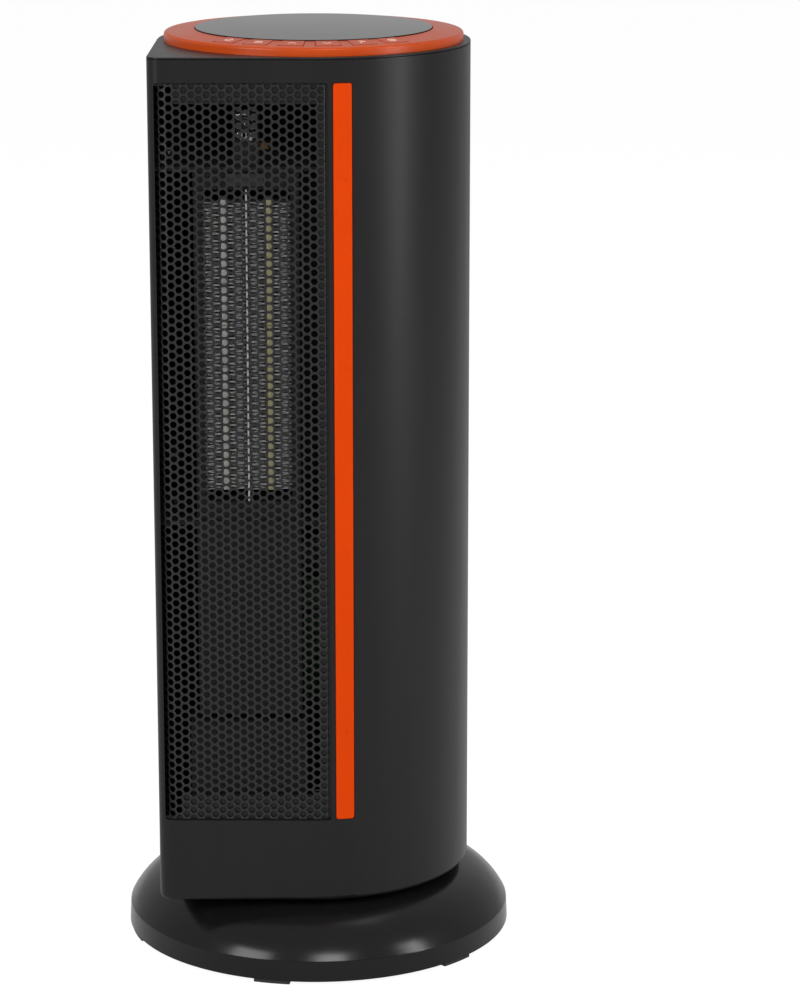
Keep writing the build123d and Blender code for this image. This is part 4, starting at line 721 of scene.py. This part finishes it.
    def _bent(self, place: Vector, front: float) -> Vector:
        """Where a point of the flat sheet goes once both edges are bent back.

        Args:
            place: the point, with its depth behind the sheet's face as y.
            front: where that face lies.

        Returns:
            The point on the bent sheet.
        """
        if place.x < self.bend_start:
            edge, radius, way = self.bend_start, self.bend_radius, -1
        elif place.x > self.flange_start:
            edge, radius, way = self.flange_start, self.flange_radius, 1
        else:
            return Vector((place.x, front + place.y, place.z))
        angle = abs(place.x - edge) / radius
        reach = radius - place.y
        return Vector((edge + way * reach * math.sin(angle), front + radius - reach * math.cos(angle),
                       place.z))


@dataclass
class FoldedFins:
    """Four folded aluminium strips between the heater's plates."""

    pitch: float = 2.1 * MM
    ribbon: float = 0.28 * MM
    clearance: float = 0.1 * MM
    stone_width: float = 3.2 * MM
    plate_width: float = 1.0 * MM

    def build(self) -> bpy.types.Object:
        """Models the strips in the CAD fins' place.

        Returns:
            The strips as one piece.
        """
        low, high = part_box("heater_fins")
        plate_low, plate_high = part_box("heater_plates")
        stone_low, stone_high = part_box("heater_stones")
        middle = (plate_low.x + plate_high.x) / 2
        gaps = (
            (plate_low.x + self.plate_width, stone_low.x),
            (stone_low.x + self.stone_width, middle - self.plate_width / 2),
            (middle + self.plate_width / 2, stone_high.x - self.stone_width),
            (stone_high.x, plate_high.x - self.plate_width),
        )
        piece = Piece("folded_fins")
        for left, right in gaps:
            self._strip(piece.mesh, Vector((left + self.clearance, low.y, low.z)),
                        Vector((right - self.clearance, high.y, high.z)))
        fins = piece.finish(ALUMINIUM, Body.TOWER, Slot.FINS)
        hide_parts("heater_fins")
        return fins

    def _strip(self, mesh: bmesh.types.BMesh, low: Vector, high: Vector) -> None:
        """Models one strip: a line folded from side to side, made a ribbon, then drawn back.

        Args:
            mesh: the mesh that takes it.
            low: the strip's lower front corner at the left.
            high: its upper back corner at the right.
        """
        folds = int((high.z - low.z - self.ribbon) / self.pitch) * 2
        end = bmesh.ops.create_vert(mesh, co=low)["vert"][0]
        line = []
        for fold in range(1, folds + 1):
            grown = bmesh.ops.extrude_vert_indiv(mesh, verts=[end])
            end = grown["verts"][0]
            line += grown["edges"]
            side = high.x if fold % 2 else low.x
            bmesh.ops.translate(mesh, verts=[end], vec=(side - end.co.x, 0, self.pitch / 2))
        ribbon = bmesh.ops.extrude_edge_only(mesh, edges=line)["geom"]
        bmesh.ops.translate(mesh, verts=verts_in(ribbon), vec=(0, 0, self.ribbon))
        faces = [item for item in ribbon if isinstance(item, bmesh.types.BMFace)]
        deep = bmesh.ops.extrude_face_region(mesh, geom=faces, use_keep_orig=True)["geom"]
        bmesh.ops.translate(mesh, verts=verts_in(deep), vec=(0, high.y - low.y, 0))


@dataclass
class KeySigns:
    """Raised light signs on the six keys, each a plain pictogram drawn with strokes.

    A sign is drawn on a square that reaches from -1 to 1, with y upward to someone in front.
    """

    stroke: float = 0.8 * MM
    lift: float = 0.12 * MM
    sink: float = 0.2 * MM
    size: float = 2.5 * MM
    radius: float = 75.4 * MM
    key_pitch: float = 14.9
    front_angle: float = -90.0
    inner_height: float = 543.75 * MM
    inner_radius: float = 68.8 * MM
    fall: float = 1.6 / 17.6

    def build(self) -> list[bpy.types.Object]:
        """Models one sign on each key.

        Returns:
            The signs, each riding on its own key.
        """
        drawings = {
            "key_power": self._power(),
            "key_heat": self._heat(),
            "key_up": self._chevron(1),
            "key_down": self._chevron(-1),
            "key_swing": self._swing(),
            "key_timer": self._timer(),
        }
        made = []
        for index, (key, strokes) in enumerate(drawings.items()):
            angle = self.front_angle + self.key_pitch * (index - (len(drawings) - 1) / 2)
            piece = Piece(f"sign_{key}")
            for line in strokes:
                self._stroke(piece, line, angle)
            made.append(piece.finish(SIGN, f"{key}_body", Slot.ORANGE))
        return made

    def _raised(self, place: Vector) -> Vector:
        """The point of a sign's top over a place on the key."""
        slope = (math.hypot(place.x, place.y) - self.inner_radius) * self.fall
        return Vector((place.x, place.y, self.inner_height - slope + self.lift))

    def _stroke(self, piece: Piece, line: Sequence[Point], angle: float) -> None:
        """Draws one pen stroke on a key: a flat ribbon with a little height.

        Args:
            piece: the sign that it belongs to.
            line: the stroke's points on the sign's square.
            angle: where the key lies on the ring, in degrees.
        """
        outward = ring_point(1, angle, 0)
        sideways = Vector((-outward.y, outward.x, 0))
        places = [outward * (self.radius - y * self.size) + sideways * (x * self.size) for x, y in line]
        left, right = [], []
        for index, place in enumerate(places):
            along = places[min(index + 1, len(places) - 1)] - places[max(index - 1, 0)]
            side = Vector((-along.y, along.x, 0)).normalized() * self.stroke / 2
            left.append(self._raised(place + side))
            right.append(self._raised(place - side))
        drop = Vector((0, 0, -self.lift - self.sink))
        for a, b in zip(range(len(places)), range(1, len(places))):
            piece.prism((left[a], left[b], right[b], right[a]), drop)

    @staticmethod
    def _arc(radius: float, start: float, end: float, steps: int = 14) -> list[Point]:
        """Points along an arc about the sign's middle, in degrees from its right."""
        angles = [math.radians(start + (end - start) * i / steps) for i in range(steps + 1)]
        return [(radius * math.cos(angle), radius * math.sin(angle)) for angle in angles]

    def _power(self) -> list[list[Point]]:
        """An open ring with an upright bar."""
        return [self._arc(0.85, 125, 415), [(0, 0.2), (0, 1.05)]]

    @staticmethod
    def _heat() -> list[list[Point]]:
        """Three rising waves."""
        return [[(x + 0.16 * math.sin(step * math.pi / 3), -0.85 + step * 0.283) for step in range(7)]
                for x in (-0.65, 0.0, 0.65)]

    @staticmethod
    def _chevron(way: int) -> list[list[Point]]:
        """An arrowhead that points up for 1 and down for -1."""
        return [[(-0.85, -0.4 * way), (0.0, 0.45 * way), (0.85, -0.4 * way)]]

    def _swing(self) -> list[list[Point]]:
        """A slanting bar with a swing arc over it."""
        return [[(-0.5, -0.85), (0.15, 0.1)], self._arc(1.0, 20, 110),
                [(0.95, 0.75), (0.95, 0.3), (0.5, 0.3)]]

    def _timer(self) -> list[list[Point]]:
        """A clock: a ring and two hands."""
        return [self._arc(0.9, 0, 360, 20), [(0, 0.55), (0, 0), (0.4, -0.2)]]


@dataclass
class ReceiverPins:
    """Solder pins and small parts on the remote receiver behind the sheet."""

    pin_radius: float = 0.35 * MM
    pin_length: float = 3.6 * MM
    pin_spacing: float = 2.5 * MM
    pin_top: float = -4.0 * MM
    pin_depth: float = 3.2 * MM
    foot_length: float = 0.9 * MM
    solder_radius: float = 1.05 * MM
    pin_sides: int = 8
    solder_sides: int = 10
    part_depth: float = 4.2 * MM
    part_bevel: float = 0.15 * MM
    parts: tuple[Point, ...] = ((-4.6, 5.6), (-1.2, 6.6), (4.8, -0.5), (-5.0, -5.2))

    def build(self) -> bpy.types.Object:
        """Models the pins and the small parts on the board's face.

        Returns:
            The new piece.
        """
        low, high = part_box("ir_receiver")
        middle = (low + high) / 2
        piece = Piece("receiver_pins")
        for offset in (-self.pin_spacing, 0.0, self.pin_spacing):
            top = Vector((middle.x + offset, low.y + self.pin_depth, middle.z + self.pin_top))
            end = top - Vector((0, 0, self.pin_length))
            foot = end + Vector((0, self.foot_length, 0))
            piece.rod(top, end, self.pin_radius, self.pin_sides)
            piece.rod(foot, foot + Vector((0, self.foot_length, 0)), self.solder_radius, self.solder_sides)
        for x, z in self.parts:
            place = Vector((middle.x + x * MM, low.y + self.part_depth, middle.z + z * MM))
            piece.block(place - Vector((1.0, 0.5, 0.7)) * MM, place + Vector((1.0, 1.0, 0.7)) * MM,
                        self.part_bevel)
        return piece.finish(TIN, Body.TOWER, Slot.SCREW, smooth=True)


@dataclass
class FilterCloth:
    """Fine woven cloth stretched across the inside of the dust filter's frame."""

    thickness: float = 0.3 * MM
    frame_depth: float = 1.2 * MM
    gap: float = 0.05 * MM
    shortening: float = 1.0 * MM
    steps: int = 28

    def build(self) -> bpy.types.Object:
        """Models the cloth as a thin strip turned round the tower's axis.

        Returns:
            The cloth.
        """
        low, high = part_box("dust_filter")
        radius = high.y - self.frame_depth - self.gap - self.thickness / 2
        half = math.asin(high.x / high.y)
        size = Matrix.Diagonal((self.thickness, high.z - low.z - self.shortening, 1.0, 1.0))
        upright = Matrix.Rotation(math.radians(90), 4, "X")
        place = Matrix.Translation((radius, 0, (low.z + high.z) / 2))
        start = Matrix.Rotation(math.pi / 2 - half, 4, "Z") @ place @ upright @ size
        piece = Piece("filter_cloth")
        bmesh.ops.create_grid(piece.mesh, x_segments=1, y_segments=1, size=0.5, matrix=start)
        bmesh.ops.spin(piece.mesh, geom=whole(piece.mesh), cent=(0, 0, 0), axis=(0, 0, 1),
                       dvec=(0, 0, 0), angle=2 * half, steps=self.steps, use_duplicate=False)
        bmesh.ops.holes_fill(piece.mesh, edges=piece.mesh.edges[:], sides=0)
        return piece.finish(CLOTH, Body.TOWER, Slot.BLACK, smooth=True)


@dataclass
class BaseScrews:
    """The countersunk screws under the base, with a cross recess in each head."""

    count: int = 6
    first_angle: float = -72.4
    inset: float = 27.2 * MM
    head_radius: float = 2.9 * MM
    head_depth: float = 1.4 * MM
    shank_radius: float = 1.5 * MM
    sides: int = 24
    recess: float = 0.9 * MM
    rim_share: float = 0.35
    arm_shares: tuple[float, ...] = (1.0, 1.0, 0.5, 0.42, 0.42, 0.5)
    recess_taper: float = 0.75

    def build(self) -> bpy.types.Object:
        """Models the screws in the CAD screws' place.

        Returns:
            The screws as one piece.
        """
        low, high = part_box("base_screws")
        cover_low, cover_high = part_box("base_cover")
        ring = (cover_high.x - cover_low.x) / 2 - self.inset
        piece = Piece("base_screws_recessed")
        for index in range(self.count):
            place = ring_point(ring, self.first_angle + 360 / self.count * index, low.z)
            matrix = Matrix.Translation(place) @ facing(Vector((0, 0, -1)))
            self._screw(piece.mesh, matrix, high.z - low.z)
        made = piece.finish(ZINC, Body.BASE, Slot.SCREW, smooth=True)
        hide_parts("base_screws")
        return made

    def _screw(self, mesh: bmesh.types.BMesh, matrix: Matrix, length: float) -> None:
        """Models one screw: a disc drawn down its profile, with a cross sunk in its face.

        Args:
            mesh: the mesh that takes it.
            matrix: where its head's face lies.
            length: from that face to its end.
        """
        before = set(mesh.verts)
        disc = bmesh.ops.create_circle(mesh, cap_ends=True, segments=self.sides,
                                       radius=self.head_radius)["verts"]
        top = disc[0].link_faces[0]
        edges = list(top.edges)
        for height in (-self.head_depth, -length):
            verts = grow_ring(mesh, edges)
            edges = loop_edges(verts)
            for vert in verts:
                flat = Vector((vert.co.x, vert.co.y, 0))
                vert.co = flat.normalized() * self.shank_radius + Vector((0, 0, height))
        bmesh.ops.holes_fill(mesh, edges=edges, sides=0)
        self._cross(mesh, top)
        fresh = [vert for vert in mesh.verts if vert not in before]
        bmesh.ops.transform(mesh, matrix=matrix, verts=fresh)

    def _cross(self, mesh: bmesh.types.BMesh, top: bmesh.types.BMFace) -> None:
        """Sinks a cross into a head.

        Args:
            mesh: the mesh that holds it.
            top: the head's face. Inset, its corners become the four arms and the notches between.
        """
        bmesh.ops.inset_individual(mesh, faces=[top], thickness=self.head_radius * self.rim_share)
        for index, vert in enumerate(list(top.verts)):
            share = self.arm_shares[index % len(self.arm_shares)]
            vert.co = Vector((vert.co.x * share, vert.co.y * share, vert.co.z))
        floor = verts_in(bmesh.ops.extrude_face_region(mesh, geom=[top])["geom"])
        bmesh.ops.delete(mesh, geom=[top], context="FACES_ONLY")
        bmesh.ops.translate(mesh, verts=floor, vec=(0, 0, -self.recess))
        bmesh.ops.scale(mesh, verts=floor, vec=(self.recess_taper, self.recess_taper, 1))


@dataclass
class Dressing:
    """Puts a finish on each CAD node."""

    frame: dict

    def apply(self) -> None:
        """Gives every CAD node its finish, and reports a node that has none."""
        plan: dict[Finish, tuple[str, ...]] = {
            CASING: ("front_housing", "rear_housing", "top_cover", "intake_cover"),
            DOME: ("base_cover",),
            ORANGE: ("control_ring", "key_power", "key_heat", "key_down", "key_up", "key_swing",
                     "key_timer"),
            STRIP: ("accent_strip",),
            WINDOW: ("display_window",),
            SHEET: ("front_grille",),
            INNER: ("base_plate", "tower_floor", "swivel_bush", "blower_scroll", "duct_base",
                    "duct_top", "dust_filter", "main_switch", "swing_bracket", "motor_cover",
                    "wiring_box", "impeller"),
            FRAME: ("heater_frame",),
            ACETAL: ("swivel_post", "thrust_washer", "swing_gear", "swing_pinion"),
            RUBBER: ("base_feet", "cord_grommet"),
            ZINC: ("base_screws", "swivel_screws", "floor_screws", "swing_screws", "housing_screws",
                   "control_screws", "blower_screws", "power_screws", "inner_floor_screws"),
            CAN_STEEL: ("fan_motor", "swing_motor"),
            GROUND_STEEL: ("fan_shaft",),
            BRONZE: ("top_bush",),
            ALUMINIUM: ("heater_fins", "heater_plates"),
            STONES: ("heater_stones",),
            BOARD: ("control_board", "power_board"),
            LENS: ("ir_receiver",),
            COMPONENT: ("key_switches", "display_module", "tip_over_switch", "switch_rocker",
                        "thermal_cutout"),
        }
        for finish, names in plan.items():
            for name in names:
                self._dress(name, finish)
        bare = set(self.frame["nodes"]).difference(*plan.values())
        if bare:
            log.warning("nodes without a finish: %s", sorted(bare))

    def _dress(self, name: str, finish: Finish) -> None:
        """Puts a finish in the material slots of a node's object."""
        for slot in self.frame["nodes"][name].material_slots:
            slot.material = finish.material()


@dataclass(frozen=True)
class Lamp:
    """A soft rectangular lamp."""

    name: str
    place: Triple
    width: float
    height: float
    power: float

    def hang(self, aim: Vector) -> None:
        """Puts the lamp in its place, turned to a point."""
        data = bpy.data.lights.new(self.name, "AREA")
        data.shape = "RECTANGLE"
        data.size = self.width
        data.size_y = self.height
        data.energy = self.power
        lamp = bpy.data.objects.new(self.name, data)
        lamp.location = self.place
        lamp.rotation_euler = (aim - Vector(self.place)).to_track_quat("-Z", "Y").to_euler()
        bpy.context.scene.collection.objects.link(lamp)


@dataclass
class Studio:
    """Plain pale floor, white surroundings, soft lights, and the photograph's camera."""

    camera_distance: float = 2035.2 * MM
    camera_height: float = 772.5 * MM
    camera_azimuth: float = 1.75
    camera_pitch: float = 14.07
    camera_pan: float = 1.40
    clip_start: float = 0.1
    clip_end: float = 30.0
    focal_pixels: float = 3520.9
    picture_height: float = 1000.0
    sensor: float = 36.0
    fill: float = 0.33
    reflected_white: float = 0.3
    floor_reach: float = 6.0
    floor_shade: float = 0.8
    floor_glow: float = 0.93
    shadow_share: float = 0.16
    aim: Triple = (0.0, 0.0, 0.3)
    lamps: tuple[Lamp, ...] = (
        Lamp("key_lamp", (-1.7, -1.8, 1.25), 1.0, 1.4, 34.0),
        Lamp("front_lamp", (0.35, -2.2, 1.7), 0.7, 0.5, 16.0),
        Lamp("side_lamp", (1.95, -0.95, 0.85), 0.45, 1.6, 21.0),
        Lamp("top_lamp", (0.0, 0.6, 2.3), 1.6, 1.2, 9.0),
    )

    def build(self) -> None:
        """Makes the floor, the world, the lamps and the camera."""
        self._floor()
        self._world()
        for lamp in self.lamps:
            lamp.hang(Vector(self.aim))
        self._camera()
        bpy.context.scene.view_settings.view_transform = "Standard"

    def _camera(self) -> None:
        """The camera that the photograph was taken with, as fitted to its outlines."""
        turn = math.radians(self.camera_azimuth)
        heading = math.radians(self.camera_pan) - turn
        pitch = math.radians(self.camera_pitch)
        data = bpy.data.cameras.new("photo_camera")
        data.sensor_width = self.sensor
        data.lens = self.sensor * self.focal_pixels / self.picture_height
        data.clip_start = self.clip_start
        data.clip_end = self.clip_end
        camera = bpy.data.objects.new("photo_camera", data)
        camera.location = (self.camera_distance * math.sin(turn),
                           -self.camera_distance * math.cos(turn), self.camera_height)
        forward = Vector((math.sin(heading) * math.cos(pitch), math.cos(heading) * math.cos(pitch),
                          -math.sin(pitch)))
        camera.rotation_euler = forward.to_track_quat("-Z", "Y").to_euler()
        bpy.context.scene.collection.objects.link(camera)
        bpy.context.scene.camera = camera

    def _floor(self) -> None:
        """A pale floor that shows white to the camera, and keeps the heater's shadow."""
        mesh = bmesh.new()
        bmesh.ops.create_grid(mesh, x_segments=1, y_segments=1, size=self.floor_reach)
        data = bpy.data.meshes.new("studio_floor")
        mesh.to_mesh(data)
        mesh.free()
        floor = bpy.data.objects.new("studio_floor", data)
        bpy.context.scene.collection.objects.link(floor)
        material = bpy.data.materials.new("studio_floor_white")
        material.use_nodes = True
        material.node_tree.nodes.clear()
        canvas = NodeCanvas(material.node_tree)
        seen = self._seen(canvas)
        shade = canvas.blend(seen, opaque((self.floor_shade,) * 3), opaque((self.shadow_share,) * 3))
        plain = canvas.add("ShaderNodeBsdfDiffuse", {"Color": shade})
        glow = canvas.add("ShaderNodeEmission", {"Strength": canvas.calc("MULTIPLY", seen, self.floor_glow)})
        both = canvas.add("ShaderNodeAddShader", {0: plain.outputs["BSDF"], 1: glow.outputs["Emission"]})
        canvas.add("ShaderNodeOutputMaterial", {"Surface": both.outputs["Shader"]})
        data.materials.append(material)

    def _seen(self, canvas: NodeCanvas) -> bpy.types.NodeSocket:
        """How much of the white background shows to a ray.

        Args:
            canvas: the nodes of the floor or the world.

        Returns:
            The share: all of it straight on and through glass, and less in a reflection.
        """
        path = canvas.add("ShaderNodeLightPath")
        mirrored = canvas.calc("MULTIPLY", path.outputs["Is Glossy Ray"], self.reflected_white)
        direct = canvas.calc("MAXIMUM", path.outputs["Is Camera Ray"], path.outputs["Is Transmission Ray"])
        return canvas.calc("MAXIMUM", direct, mirrored)

    def _world(self) -> None:
        """White where it is seen, and a dimmer even light to everything else."""
        world = bpy.data.worlds.new("studio_world")
        bpy.context.scene.world = world
        world.use_nodes = True
        world.node_tree.nodes.clear()
        canvas = NodeCanvas(world.node_tree)
        dim, bright = (canvas.add("ShaderNodeBackground", {"Color": opaque((1.0, 1.0, 1.0)),
                                                           "Strength": strength})
                       for strength in (self.fill, 1.0))
        both = canvas.add("ShaderNodeMixShader", {
            "Fac": self._seen(canvas), 1: dim.outputs["Background"], 2: bright.outputs["Background"]})
        canvas.add("ShaderNodeOutputWorld", {"Surface": both.outputs["Shader"]})


def main() -> None:
    """Builds and dresses the heater, sets up the studio, and reports each piece."""
    logging.basicConfig(level=logging.INFO, format="%(name)s %(message)s")
    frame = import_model()
    Dressing(frame).apply()
    PerforatedSheet().build()
    FoldedFins().build()
    KeySigns().build()
    ReceiverPins().build()
    FilterCloth().build()
    BaseScrews().build()
    Studio().build()


if __name__ == "__main__":
    main()
